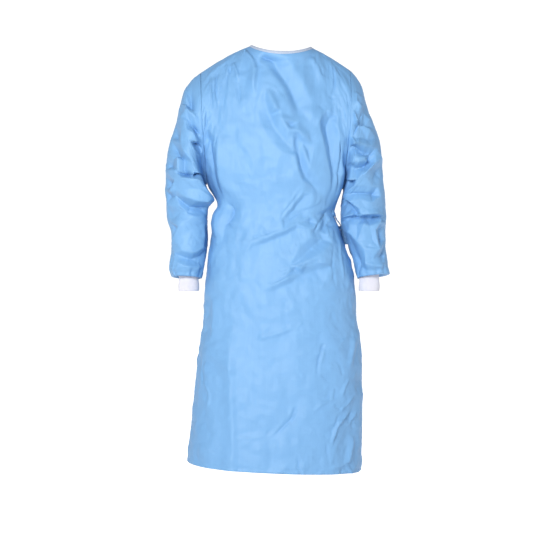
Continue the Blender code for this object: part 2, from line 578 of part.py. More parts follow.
def flap_columns(reaches, steps, from_right):
    """The shares s of a back flap's columns, a row for each v; the shoulder keeps the front's steps."""
    rows = body_rows()
    part = np.arange(steps + 1) / steps
    reach = flap_reach(reaches, rows)
    to_edge = (1 - reach) if from_right else reach
    even = part[None, :] * to_edge[:, None]
    neck_steps = steps - SHOULDER_STEPS
    shoulder = np.arange(SHOULDER_STEPS + 1) / WIDTH_STEPS
    neck = mix(SHOULDER_SHARE, to_edge[0], np.arange(1, neck_steps + 1) / neck_steps)
    seam = np.concatenate((shoulder, neck))
    share = ease(np.clip(rows, 0, 1))[:, None]
    columns = mix(seam[None, :], even, share)
    return 1 - columns if from_right else columns


def add_body(sheet):
    rows = body_rows()
    across = np.arange(WIDTH_STEPS + 1) / WIDTH_STEPS
    points, _ = body_cloth(FRONT, across[None, :], rows[:, None])
    sheet.add_grid("front_panel", points)
    outer = flap_columns(OUTER_FLAP_REACH, FLAP_STEPS[0], from_right=False)
    points, _ = body_cloth(BACK, outer, rows[:, None])
    sheet.add_grid("back_panel_right", points, flip=True)
    inner = flap_columns(INNER_FLAP_REACH, FLAP_STEPS[1], from_right=True)
    points, _ = body_cloth(BACK, inner, rows[:, None], inner_layer=True)
    sheet.add_grid("back_panel_left", points)


def add_sleeve(sheet, side_name, rings, end):
    """A sleeve in two halves on one piece, its turned end, and the cuff that it is sewn to."""
    rows = np.array(yoke_rows())
    along = np.arange(SLEEVE_STEPS + 1) / SLEEVE_STEPS
    for half in (FRONT, BACK):
        flip = (half == FRONT) == (end == LEFT)
        points = sleeve(rings, end, rows[:, None], along[None, :], half)
        foot = points[:, -1]
        seam = cuff_ring(end, rows, CUFF_SEAM_Z, half)
        turned = []
        for turn in SLEEVE_TURNS:
            ring = mix(foot, seam, turn.inwards)
            ring[:, 2] = mix(foot[:, 2] + turn.rise, CUFF_SEAM_Z, turn.inwards ** 3)
            turned.append(ring)
        points = np.concatenate([points] + [ring[:, None] for ring in turned], axis=1)
        sheet.add_grid(f"sleeve_{side_name}", points, flip)
        knit = [cuff_ring(end, rows, mix(CUFF_SEAM_Z, CUFF_FOOT_Z, i / CUFF_STEPS), half)
                for i in range(CUFF_STEPS + 1)]
        sheet.add_grid(f"cuff_{side_name}", np.stack(knit, axis=1), flip)


def neck_edge(sheet):
    """The neck edge from the inner flap's end round the front to the outer flap's end."""
    inner_s = flap_columns(INNER_FLAP_REACH, FLAP_STEPS[1], from_right=True)[:2, SHOULDER_STEPS:]
    outer_s = flap_columns(OUTER_FLAP_REACH, FLAP_STEPS[0], from_right=False)[:2, SHOULDER_STEPS:]
    front_s = np.arange(WIDTH_STEPS - SHOULDER_STEPS, SHOULDER_STEPS - 1, -1) / WIDTH_STEPS
    rows = body_rows()[:2]
    inner, _ = body_cloth(BACK, inner_s[:, ::-1], rows[:, None], inner_layer=True)
    front, _ = body_cloth(FRONT, np.stack([front_s, front_s]), rows[:, None])
    outer, _ = body_cloth(BACK, outer_s, rows[:, None])
    path = np.concatenate((inner[:, :-1], front[:, :-1], outer), axis=1)
    corners = (inner.shape[1] - 1, inner.shape[1] + front.shape[1] - 2)
    for corner, end in zip(corners, (1, 0)):
        on_seam = np.array([abs(end - (SHOULDER_STEPS - 1) / WIDTH_STEPS)])
        path[1, corner] = body_cloth(FRONT, on_seam, np.zeros(1))[0][0]
    found = [[min(sheet.mesh.verts, key=lambda vert: (vert.co - Vector(place)).length_squared)
              for place in row] for row in path]
    lift = np.zeros((path.shape[1], 1))
    for corner in corners:
        lift[corner - 1:corner + 2, 0] = BINDING_CORNER_LIFTS
    return (np.array([[tuple(vert.co) for vert in row] for row in found]),
            np.array([[tuple(vert.normal) for vert in row] for row in found]), lift)


def build_binding(sheet):
    """A strip folded over the neck edge, with a leaf on each side of the cloth."""
    (edge, below), (edge_normal, below_normal), lift = neck_edge(sheet)
    drop = np.linalg.norm(below - edge, axis=1, keepdims=True)
    outside = BINDING_GAP + BINDING_CLOTH
    profile = (   # out from the cloth's outer face, down from the neck edge
        (outside, BINDING_DROP), (BINDING_GAP, BINDING_DROP), (BINDING_GAP, -BINDING_GAP),
        (-CLOTH - BINDING_GAP, -BINDING_GAP), (-CLOTH - BINDING_GAP, BINDING_DROP),
        (-CLOTH - outside, BINDING_DROP), (-CLOTH - outside, -outside), (outside, -outside))
    corners = []
    for out, down in profile:
        share = down / drop
        normal = edge_normal + (below_normal - edge_normal) * np.clip(share, 0, 1)
        stand_off = lift * np.sign(out) if down > 0 else 0.0
        corners.append(edge + (below - edge) * share + normal * (out + stand_off))
    return swept_solid(np.stack(corners, axis=1))


class BodySurface:
    """The faceted outer face of the body's panels, to lay ties and tabs on."""

    def __init__(self, sheet):
        panels = [number for number, name in enumerate(sheet.names) if "panel" in name]
        self.tree = BVHTree.FromPolygons(
            [vert.co for vert in sheet.mesh.verts],
            [[vert.index for vert in face.verts] for face in sheet.mesh.faces
             if face[sheet.piece_of] in panels])

    def lie_on(self, route, normals, widths, clear):
        """Move each point of a route out until a strip of its width clears the cloth."""
        run = np.gradient(route, axis=0)
        across = np.cross(run, normals)
        across /= np.linalg.norm(across, axis=1, keepdims=True)
        heights = np.zeros(len(route))
        for index, (place, normal) in enumerate(zip(route, normals)):
            for share in LOOK_SHARES:
                start = place + across[index] * widths[index] * share + normal * LOOK_HEIGHT
                hit, _, _, distance = self.tree.ray_cast(Vector(start), Vector(-normal))
                if hit is not None:
                    heights[index] = max(heights[index], LOOK_HEIGHT - distance)
        around = np.pad(heights, 1, mode="edge")
        heights = np.maximum(heights, np.maximum(around[:-2], around[2:]))
        return route + normals * (heights + clear)[:, None]


def build_tab(surface):
    """A closing tab that lies over the outer flap's edge at the neck."""
    reach = flap_reach(OUTER_FLAP_REACH, np.array([TAB_ROW]))[0]
    centre, _ = body_cloth(BACK, reach, TAB_ROW)
    look = 0.01
    step, _ = body_cloth(BACK, reach + look, TAB_ROW)
    share_per_metre = look / np.linalg.norm(step - centre)
    offsets = np.linspace(-TAB_LENGTH * TAB_UNDER, TAB_LENGTH * (1 - TAB_UNDER), 11)
    place, normal = body_cloth(BACK, reach + offsets * share_per_metre, TAB_ROW, inner_layer=True)
    widths = np.full(len(offsets), TAB_WIDTH)
    route = surface.lie_on(place, normal, widths, np.full(len(offsets), TIE_ROOT_CLEAR))
    return ribbon(route, normal, widths, TAB_CLOTH)


def knot_surface(direction):
    """The point of the knot's surface in a direction from its centre, with the knot's gap."""
    direction = np.asarray(direction, float) / np.linalg.norm(direction)
    reach = 1 / np.linalg.norm(direction / np.array(KNOT_RADII))
    return np.array(KNOT_CENTRE) + direction * (reach + KNOT_GAP)


def build_tie(surface, side, s_ends, v_ends):
    """A tie that is sewn on at its start, follows the cloth and ends at the knot."""
    share = np.linspace(0.0, 1.0, 13)
    place, normal = body_cloth(side, mix(*s_ends, share), mix(*v_ends, share),
                               inner_layer=side == BACK)
    widths = mix(TIE_WIDTH, TIE_NECK, ease(share * 1.1))
    clear = mix(TIE_ROOT_CLEAR, TIE_CLEAR, ease(share * 3))
    route = surface.lie_on(place, normal, widths, clear)
    arrive = knot_surface(route[-1] - np.array(KNOT_CENTRE))
    run_in = mix(route[-1], arrive, np.linspace(0.0, 1.0, 4)[1:, None])
    route = np.concatenate((route, run_in))
    normal = np.concatenate((normal, np.repeat(normal[-1:], 3, axis=0)))
    return ribbon(route, normal, np.concatenate((widths, [TIE_NECK] * 3)), TIE_CLOTH)


def build_knot():
    knot = bmesh.new()
    bmesh.ops.create_uvsphere(knot, u_segments=12, v_segments=8, radius=1.0)
    bmesh.ops.scale(knot, vec=KNOT_RADII, verts=knot.verts[:])
    bmesh.ops.translate(knot, vec=KNOT_CENTRE, verts=knot.verts[:])
    return knot


def build_bow(bow):
    """A loop of tie that hangs from the knot, open at the top."""
    turn = np.linspace(-BOW_TURN, BOW_TURN, 15) * math.pi
    down = (1 + np.cos(turn)) / 2
    root = np.array(KNOT_CENTRE) + (0.0, bow.root_y, bow.root_z)
    route = root + np.stack([bow.lean_x * down, bow.lean_y * down + np.sin(turn) * BOW_HALF_GIRTH,
                             -bow.length * down], axis=1)
    faces_to = np.stack([0 * turn, np.sin(turn), -np.cos(turn)], axis=1)
    return ribbon(route, faces_to, np.full(15, BOW_WIDTH), TIE_CLOTH)


def build_end(end):
    """A free end of the tie, which leaves the back of the knot and hangs down."""
    share = np.linspace(0.0, 1.0, 11)
    route = knot_surface((0.0, 1.0, end.leaves_up)) + np.stack(
        [end.lean_x * share, end.lean_y * np.sin(share * math.pi / 2), -end.length * share ** END_DROOP],
        axis=1)
    faces_to = np.cross(np.gradient(route, axis=0), (-1.0, 0.12, 0.0))
    return ribbon(route, faces_to, mix(TIE_NECK, END_WIDTH, ease(share * 2)), TIE_CLOTH)


def build_ties(surface):
    """The two waist ties, the knot that joins them, its two bows and two free ends."""
    made = {"waist_tie_front": build_tie(surface, FRONT, TIE_FRONT_S, TIE_FRONT_V),
            "waist_tie_back": build_tie(surface, BACK, TIE_BACK_S, TIE_BACK_V),
            "waist_knot": build_knot()}
    made.update({bow.name: build_bow(bow) for bow in BOWS})
    made.update({end.name: build_end(end) for end in TIE_ENDS})
    return made


def clear_scene():
    for thing in list(bpy.data.objects):
        bpy.data.objects.remove(thing)


def main():
    clear_scene()
    sheet = Sheet()
    add_body(sheet)
    add_sleeve(sheet, "right", SLEEVE_RIGHT, LEFT)
    add_sleeve(sheet, "left", SLEEVE_LEFT, RIGHT)
    sheet.sew()
    for name in sheet.names:
        is_cuff = name.startswith("cuff")
        place_object(name, sheet.wall(name, KNIT if is_cuff else CLOTH),
                     WHITE_KNIT if is_cuff else BLUE_CLOTH)
    place_object("neck_binding", build_binding(sheet), PALE_CLOTH)
    surface = BodySurface(sheet)
    place_object("neck_tab", build_tab(surface), PALE_CLOTH)
    for name, mesh in build_ties(surface).items():
        place_object(name, mesh, BLUE_CLOTH)
    sheet.mesh.free()


main()
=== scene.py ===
"""A surgical gown in its worn, hollow form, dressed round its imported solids.

Metres, +Z up, +X to the wearer's left, -Y to the front. The cloth pieces follow the same cut and pose as
the solids and add the creases and crumple of thin, papery nonwoven cloth.
"""
import logging
import math
from dataclasses import dataclass, field
from enum import Enum

import bmesh
import bpy
import numpy as np
from mathutils import Matrix, Vector, geometry
from mathutils.bvhtree import BVHTree


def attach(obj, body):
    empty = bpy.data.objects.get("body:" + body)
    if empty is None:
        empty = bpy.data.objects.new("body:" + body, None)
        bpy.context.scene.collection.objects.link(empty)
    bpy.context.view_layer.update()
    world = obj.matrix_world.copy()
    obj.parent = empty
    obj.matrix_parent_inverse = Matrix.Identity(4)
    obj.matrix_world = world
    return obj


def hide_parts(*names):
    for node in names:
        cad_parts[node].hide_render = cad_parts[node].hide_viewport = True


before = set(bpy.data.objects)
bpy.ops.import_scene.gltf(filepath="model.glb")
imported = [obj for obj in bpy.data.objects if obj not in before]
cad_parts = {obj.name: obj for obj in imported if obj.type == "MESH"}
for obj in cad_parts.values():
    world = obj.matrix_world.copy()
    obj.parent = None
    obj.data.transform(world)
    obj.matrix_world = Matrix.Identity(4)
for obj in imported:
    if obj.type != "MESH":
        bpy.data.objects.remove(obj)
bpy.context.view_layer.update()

ROOT = "root"
Values = float | np.ndarray
LOG = logging.getLogger("gown")


# ---------------------------------------------------------------- small helpers
def ease(share: np.ndarray) -> np.ndarray:
    """Return a smooth step from 0 to 1."""
    share = np.clip(share, 0.0, 1.0)
    return share * share * (3.0 - 2.0 * share)


def mix(start: Values, end: Values, share: Values) -> Values:
    """Return the value a share of the way from start to end."""
    return start + (end - start) * share


def stack(x: Values, y: Values, z: Values) -> np.ndarray:
    """Return points from their three coordinates, each an array or a number."""
    return np.stack(np.broadcast_arrays(x, y, z), axis=-1).astype(float)


def unit(vectors: np.ndarray) -> np.ndarray:
    """Return the vectors at length 1."""
    return vectors / np.maximum(np.linalg.norm(vectors, axis=-1, keepdims=True), 1e-12)


def bell(distance: np.ndarray, width: float) -> np.ndarray:
    """Return a soft bell: 1 at no distance, and under 0.02 from twice the width on."""
    return np.exp(-((distance / width) ** 2))


def metres(value: float) -> float:
    """Return millimetres in metres."""
    return round(value / 1000, 7)


def path_of(numbers: tuple) -> tuple:
    """Return points in metres from their x and z in turn, in millimetres."""
    places = [metres(number) for number in numbers]
    return tuple(zip(places[::2], places[1::2]))


def walked_along(route: np.ndarray) -> np.ndarray:
    """Return how far along a route each of its points lies."""
    return np.concatenate(([0.0], np.cumsum(np.linalg.norm(np.diff(route, axis=0), axis=1))))


def smooth_curve(keys: np.ndarray, values: np.ndarray, at: np.ndarray) -> np.ndarray:
    """Read a cubic through the values that never overshoots them.

    Args:
        keys: Places of the values, rising.
        values: The values there.
        at: Places to read.

    Returns:
        The curve's value at each place.
    """
    step = np.diff(keys)
    slope = np.diff(values) / step
    turn = np.zeros(len(keys))
    turn[0], turn[-1] = slope[0], slope[-1]
    same = slope[:-1] * slope[1:] > 0
    before, after = slope[:-1][same], slope[1:][same]
    turn[1:-1][same] = 2.0 * before * after / (before + after)
    place = np.clip(np.searchsorted(keys, at, side="right") - 1, 0, len(keys) - 2)
    share = np.clip((at - keys[place]) / step[place], 0.0, 1.0)
    low, high = values[place], values[place + 1]
    return (low * (1 + 2 * share) * (1 - share) ** 2 + high * share ** 2 * (3 - 2 * share)
            + step[place] * (turn[place] * share * (1 - share) ** 2
                             - turn[place + 1] * share ** 2 * (1 - share)))


class Side(Enum):
    """The front or the back half of the gown; the value is the sign of y."""

    FRONT = -1
    BACK = 1


class End(Enum):
    """The wearer's arm; the value is the share s at that side of the body."""

    RIGHT = 0
    LEFT = 1

    @property
    def outwards(self) -> int:
        """Sign of x on that side."""
        return 1 if self is End.LEFT else -1

    @property
    def word(self) -> str:
        """The side's word in piece names."""
        return self.name.lower()


# ---------------------------------------------------------------- relief of the cloth
@dataclass(frozen=True)
class Fold:
    """A broad soft fold that the cut and the pose give the cloth."""

    spine: tuple
    width: float
    height: float

    def lift(self, x: np.ndarray, z: np.ndarray) -> np.ndarray:
        """Return how far the fold moves the cloth out at places in the view from the front.

        Args:
            x: Places across in the view from the front.
            z: Heights.

        Returns:
            The move outwards at each place, in metres.
        """
        nearest = np.full_like(x, 1.0)
        for (x0, z0), (x1, z1) in zip(self.spine, self.spine[1:]):
            length = (x1 - x0) ** 2 + (z1 - z0) ** 2
            share = np.clip(((x - x0) * (x1 - x0) + (z - z0) * (z1 - z0)) / length, 0.0, 1.0)
            nearest = np.minimum(nearest, np.hypot(x - mix(x0, x1, share), z - mix(z0, z1, share)))
        return self.height * bell(nearest, self.width)


def folds(*rows: tuple) -> tuple:
    """Return folds from rows in millimetres: the spine's x and z in turn, the width and the height."""
    return tuple(Fold(path_of(spine), metres(width), metres(height)) for spine, width, height in rows)


@dataclass(frozen=True)
class Crease:
    """A crease with a crisp crest and sides of uneven width.

    The widths are on its left and right as seen from the front or, where it lies flatter than upright, below
    and above it.
    """

    path: tuple
    height: float
    widths: tuple = (0.012, 0.012)
    tips: tuple = (0.3, 0.3)
    crisp: float = 0.05
    power: float = 1.2

    def line(self, steps: int = 6) -> np.ndarray:
        """Return points on a smooth line through the path.

        Args:
            steps: Points for each stretch of the path.

        Returns:
            The points, in order.
        """
        points = np.array(self.path, float)
        padded = np.concatenate((2 * points[:1] - points[1:2], points, 2 * points[-1:] - points[-2:-1]))
        share = np.linspace(0.0, 1.0, steps, endpoint=False)[:, None]
        runs = []
        for a, b, c, d in zip(padded, padded[1:], padded[2:], padded[3:]):
            runs.append(0.5 * (2 * b + (c - a) * share + (2 * a - 5 * b + 4 * c - d) * share ** 2
                               + (3 * b - a - 3 * c + d) * share ** 3))
        return np.concatenate(runs + [points[-1:]])

    def lift(self, x: np.ndarray, z: np.ndarray) -> np.ndarray:
        """Return how far the crease moves the cloth out at places in the view from the front.

        Args:
            x: Places across in the view from the front.
            z: Heights.

        Returns:
            The move outwards at each place, in metres.
        """
        line = self.line()
        reach = max(self.widths)
        low, high = line.min(axis=0) - reach, line.max(axis=0) + reach
        near = (x > low[0]) & (x < high[0]) & (z > low[1]) & (z < high[1])
        total = np.zeros_like(x)
        if not near.any():
            return total
        start, run = line[:-1], np.diff(line, axis=0)
        length = np.hypot(*run.T)
        walked = np.concatenate(([0.0], np.cumsum(length)))
        from_start = np.stack([x[near], z[near]], axis=-1)[:, None] - start[None]
        share = np.clip((from_start * run).sum(-1) / length ** 2, 0.0, 1.0)
        gap = from_start - run * share[..., None]
        distance = np.hypot(gap[..., 0], gap[..., 1])
        best = distance.argmin(axis=1)
        row = np.arange(len(best))
        side = run[best, 0] * gap[row, best, 1] - run[best, 1] * gap[row, best, 0]
        whole = line[-1] - line[0]
        upright = abs(whole[1]) >= abs(whole[0])
        side *= np.sign(-whole[1] if upright else whole[0])
        across = distance[row, best] / np.where(side < 0, *self.widths)
        top = math.hypot(1.0, self.crisp) - self.crisp
        crest = np.clip(1 - (np.hypot(across, self.crisp) - self.crisp) / top, 0.0, 1.0) ** self.power
        along = (walked[best] + share[row, best] * length[best]) / walked[-1]
        ends = ease(along / self.tips[0]) * ease((1 - along) / self.tips[1])
        total[near] = self.height * crest * ends
        return total


def creases(*rows: tuple) -> tuple:
    """Return creases from rows.

    Args:
        rows: The path's x and z in turn, the height and the two widths, all in millimetres, and where they
            aren't the usual ones the shares of the length over which the two tips fade.

    Returns:
        The creases.
    """
    return tuple(Crease(path_of(path), metres(height), tuple(map(metres, widths)), *tips)
                 for path, height, widths, *tips in rows)


@dataclass(frozen=True)
class Facets:
    """Flat facets of stiff cloth, stretched between points at heights.

    The points are (x, z, height) and the margin round them is at no height, all in millimetres.
    """

    points: tuple
    deepen: float = 1.0
    margin: float = 60.0
    soften: float = 0.0016

    def corners(self) -> np.ndarray:
        """Return the points in metres, with points at no height all round them.

        Returns:
            Rows of x, z and height.
        """
        known = np.array(self.points, float)
        (x0, z0), (x1, z1) = known[:, :2].min(axis=0) - self.margin, known[:, :2].max(axis=0) + self.margin
        rim = [(mix(x0, x1, a), mix(z0, z1, b), 0.0)
               for a in (0.0, 0.5, 1.0) for b in (0.0, 0.25, 0.5, 0.75, 1.0) if a != 0.5 or b in (0.0, 1.0)]
        return np.concatenate((known, rim)) / 1000

    def lift(self, x: np.ndarray, z: np.ndarray) -> np.ndarray:
        """Return how far the facets move the cloth out at places in the view from the front.

        Args:
            x: Places across in the view from the front.
            z: Heights.

        Returns:
            The move outwards at each place, in metres.
        """
        corners = self.corners()
        flat = [Vector(corner[:2]) for corner in corners]
        places, _, faces, *_ = geometry.delaunay_2d_cdt(flat, [], [], 0, 1e-6)
        heights = np.array([corners[np.hypot(*(corners[:, :2] - place).T).argmin(), 2] for place in places])
        places = np.array([tuple(place) for place in places])
        total = np.zeros_like(x)
        for step_x, step_z in ((0, 0), (1, 1), (-1, 1), (1, -1), (-1, -1)):
            at_x, at_z = x + step_x * self.soften, z + step_z * self.soften
            for face in faces:
                (ax, az), (bx, bz), (cx, cz) = places[face]
                area = (bx - ax) * (cz - az) - (cx - ax) * (bz - az)
                b = ((at_x - ax) * (cz - az) - (cx - ax) * (at_z - az)) / area
                c = ((bx - ax) * (at_z - az) - (at_x - ax) * (bz - az)) / area
                inside = (b >= 0) & (c >= 0) & (b + c < 1)
                total[inside] += ((1 - b - c) * heights[face[0]] + b * heights[face[1]]
                                  + c * heights[face[2]])[inside] / 5
        return total * self.deepen


@dataclass(frozen=True)
class Waves:
    """Smooth uneven waves, made of cosines that run in all directions."""

    seed: int
    length: float
    count: int = 9

    def at(self, q: np.ndarray, p: np.ndarray) -> np.ndarray:
        """Return values of about -1 to 1 at places on the flat cloth.

        Args:
            q: Places across the flat cloth.
            p: Places down the flat cloth.

        Returns:
            The values.
        """
        draw = np.random.default_rng(self.seed)
        total = np.zeros_like(q)
        for _ in range(self.count):
            angle, phase = draw.uniform(0, 2 * math.pi, 2)
            rate = 2 * math.pi / (self.length * draw.uniform(0.7, 1.5))
            total += np.cos((q * math.cos(angle) + p * math.sin(angle)) * rate + phase)
        return total / math.sqrt(self.count)


@dataclass(frozen=True)
class Crumple:
    """Papery crumple: flat facets between sharp fold lines, in patches that come and go."""

    seed: int
    height: float
    pitch: tuple = (0.040, 0.110)
    count: int = 7
    cover: float = 0.1

    def at(self, q: np.ndarray, p: np.ndarray) -> np.ndarray:
        """Return how far the crumple moves the cloth out at places on the flat cloth.

        Args:
            q: Places across the flat cloth.
            p: Places down the flat cloth.

        Returns:
            The move outwards at each place, in metres.
        """
        draw = np.random.default_rng(self.seed)
        total = np.zeros_like(q)
        for number in range(self.count):
            angle, phase = draw.uniform(0, math.pi), draw.uniform(0, 1)
            pitch = draw.uniform(*self.pitch)
            bend = Waves(self.seed * 31 + number, pitch * 3).at(q, p) * 0.16
            turn = (q * math.cos(angle) + p * math.sin(angle)) / pitch + phase + bend
            facet = 0.5 - np.abs(turn % 1.0 * 2 - 1)
            patch = ease((Waves(self.seed * 57 + number, pitch * 2.2).at(q, p) + self.cover) * 0.9)
            total += facet * patch * pitch
        return total * self.height / np.mean(self.pitch)


@dataclass(frozen=True)
class Nicks:
    """Short fine creases, scattered over the flat cloth."""

    seed: int
    count: int
    low: tuple
    high: tuple
    length: tuple = (0.015, 0.055)
    height: tuple = (0.0005, 0.0014)
    slant: tuple = (0.0, math.pi)

    def at(self, q: np.ndarray, p: np.ndarray) -> np.ndarray:
        """Return how far the nicks move the cloth out at places on the flat cloth.

        Args:
            q: Places across the flat cloth.
            p: Places down the flat cloth.

        Returns:
            The move outwards at each place, in metres.
        """
        draw = np.random.default_rng(self.seed)
        total = np.zeros_like(q)
        for _ in range(self.count):
            centre = draw.uniform(self.low, self.high)
            angle = draw.uniform(*self.slant)
            reach = draw.uniform(*self.length) / 2
            bow = draw.uniform(-0.25, 0.25) * reach
            way = np.array((math.cos(angle), math.sin(angle)))
            path = (tuple(centre - way * reach), tuple(centre + bow * way[::-1] * (-1, 1)),
                    tuple(centre + way * reach))
            height = draw.uniform(*self.height) * (1 if draw.random() < 0.6 else -1)
            widths = tuple(draw.uniform(0.0035, 0.0080, 2))
            total += Crease(path, height, widths, (0.45, 0.45), 0.2).lift(q, p)
        return total


@dataclass(frozen=True)
class Relief:
    """Everything that moves a piece of cloth off its plain form."""

    folds: tuple
    creases: tuple
    waves: tuple
    crumples: tuple
    nicks: tuple = ()
    depth: float = 1.9

    def placed(self, x: np.ndarray, z: np.ndarray) -> np.ndarray:
        """Return the lift of folds and creases, placed in the view from the front.

        Args:
            x: Places across in the view from the front.
            z: Heights.

        Returns:
            The move outwards at each place, in metres.
        """
        total = np.zeros_like(x)
        for shape in self.folds:
            total += shape.lift(x, z)
        for shape in self.creases:
            total += shape.lift(x, z) * self.depth
        return total

    def scattered(self, q: np.ndarray, p: np.ndarray) -> np.ndarray:
        """Return the lift of waves, crumple and nicks, laid out on the flat cloth.

        Args:
            q: Places across the flat cloth.
            p: Places down the flat cloth.

        Returns:
            The move outwards at each place, in metres.
        """
        total = np.zeros_like(q)
        for waves, height in self.waves:
            total += waves.at(q, p) * height
        for shape in self.crumples + self.nicks:
            total += shape.at(q, p)
        return total


@dataclass(frozen=True)
class Seam:
    """The groove of a sewn seam and the pucker beside it."""

    pucker: float
    seed: int
    dip: float = 0.0009
    width: float = 0.0035
    pitch: float = 0.017
    reach: float = 0.012
    wander: float = 2.0
    wander_length: float = 0.05

    def lift(self, distance: np.ndarray, along: np.ndarray, q: np.ndarray, p: np.ndarray) -> np.ndarray:
        """Return how far the seam moves the cloth out.

        Args:
            distance: Distances to the seam.
            along: Places along the seam.
            q: Places across the flat cloth.
            p: Places down the flat cloth.

        Returns:
            The move along the normal, in metres.
        """
        wander = self.wander * Waves(self.seed, self.wander_length).at(q, p)
        ruffle = np.cos(along * 2 * math.pi / self.pitch + wander)
        return -self.dip * bell(distance, self.width) + self.pucker * ruffle * bell(distance, self.reach)


@dataclass(frozen=True)
class Hem:
    """The turned hem: a stitched groove, a full edge under it and a ruffle along the stitches."""

    fold: float = 0.010
    dip: float = 0.0007
    dip_width: float = 0.0028
    edge: float = 0.0004
    edge_width: float = 0.008
    ruffle: float = 0.0005
    ruffle_reach: float = 0.010
    pitch: float = 0.022
    wander: float = 2.5
    wander_length: float = 0.06
    seed: int = 42

    def lift(self, to_edge: np.ndarray, q: np.ndarray, p: np.ndarray) -> np.ndarray:
        """Return how far the hem moves the cloth out at distances up from its edge.

        Args:
            to_edge: Distances up from the edge.
            q: Places across the flat cloth.
            p: Places down the flat cloth.

        Returns:
            The move outwards at each place, in metres.
        """
        to_stitches = to_edge - self.fold
        wander = self.wander * Waves(self.seed, self.wander_length).at(q, p)
        wave = np.cos(q * 2 * math.pi / self.pitch + wander)
        full = self.edge * ease(1 - to_edge / self.edge_width)
        return (-self.dip * bell(to_stitches, self.dip_width) + full
                + self.ruffle * wave * bell(to_stitches, self.ruffle_reach))


# ---------------------------------------------------------------- form of the gown's body
@dataclass(frozen=True)
class BodySection:
    """One level of the body tube: its left and right edge and its depth to the front and back."""

    z: float
    left: float
    right: float
    front: float
    back: float


BODY_SECTIONS = tuple(BodySection(*map(metres, row)) for row in (
    (-300, -223, 193, 139, 136),
    (-400, -214.5, 182, 138, 133),
    (-416, -209.8, 179.2, 136, 129.5),
    (-430, -199.5, 176.5, 134, 126),
    (-448, -188, 168, 131, 121),
    (-470, -184, 161, 128, 116),
    (-490, -188.5, 157, 127, 114),
    (-526, -197.5, 168.5, 131, 122),
    (-584, -206.5, 186.5, 139, 137),
    (-640, -213.5, 207.5, 145, 147),
    (-740, -222, 219, 153, 158),
    (-800, -223.2, 222.5, 157, 162),
    (-860, -233, 233.5, 161, 166),
    (-955, -246, 238, 168, 172),
    (-1090, -259.6, 238.5, 178, 180),
    (-1250, -276, 235, 187, 190),
))


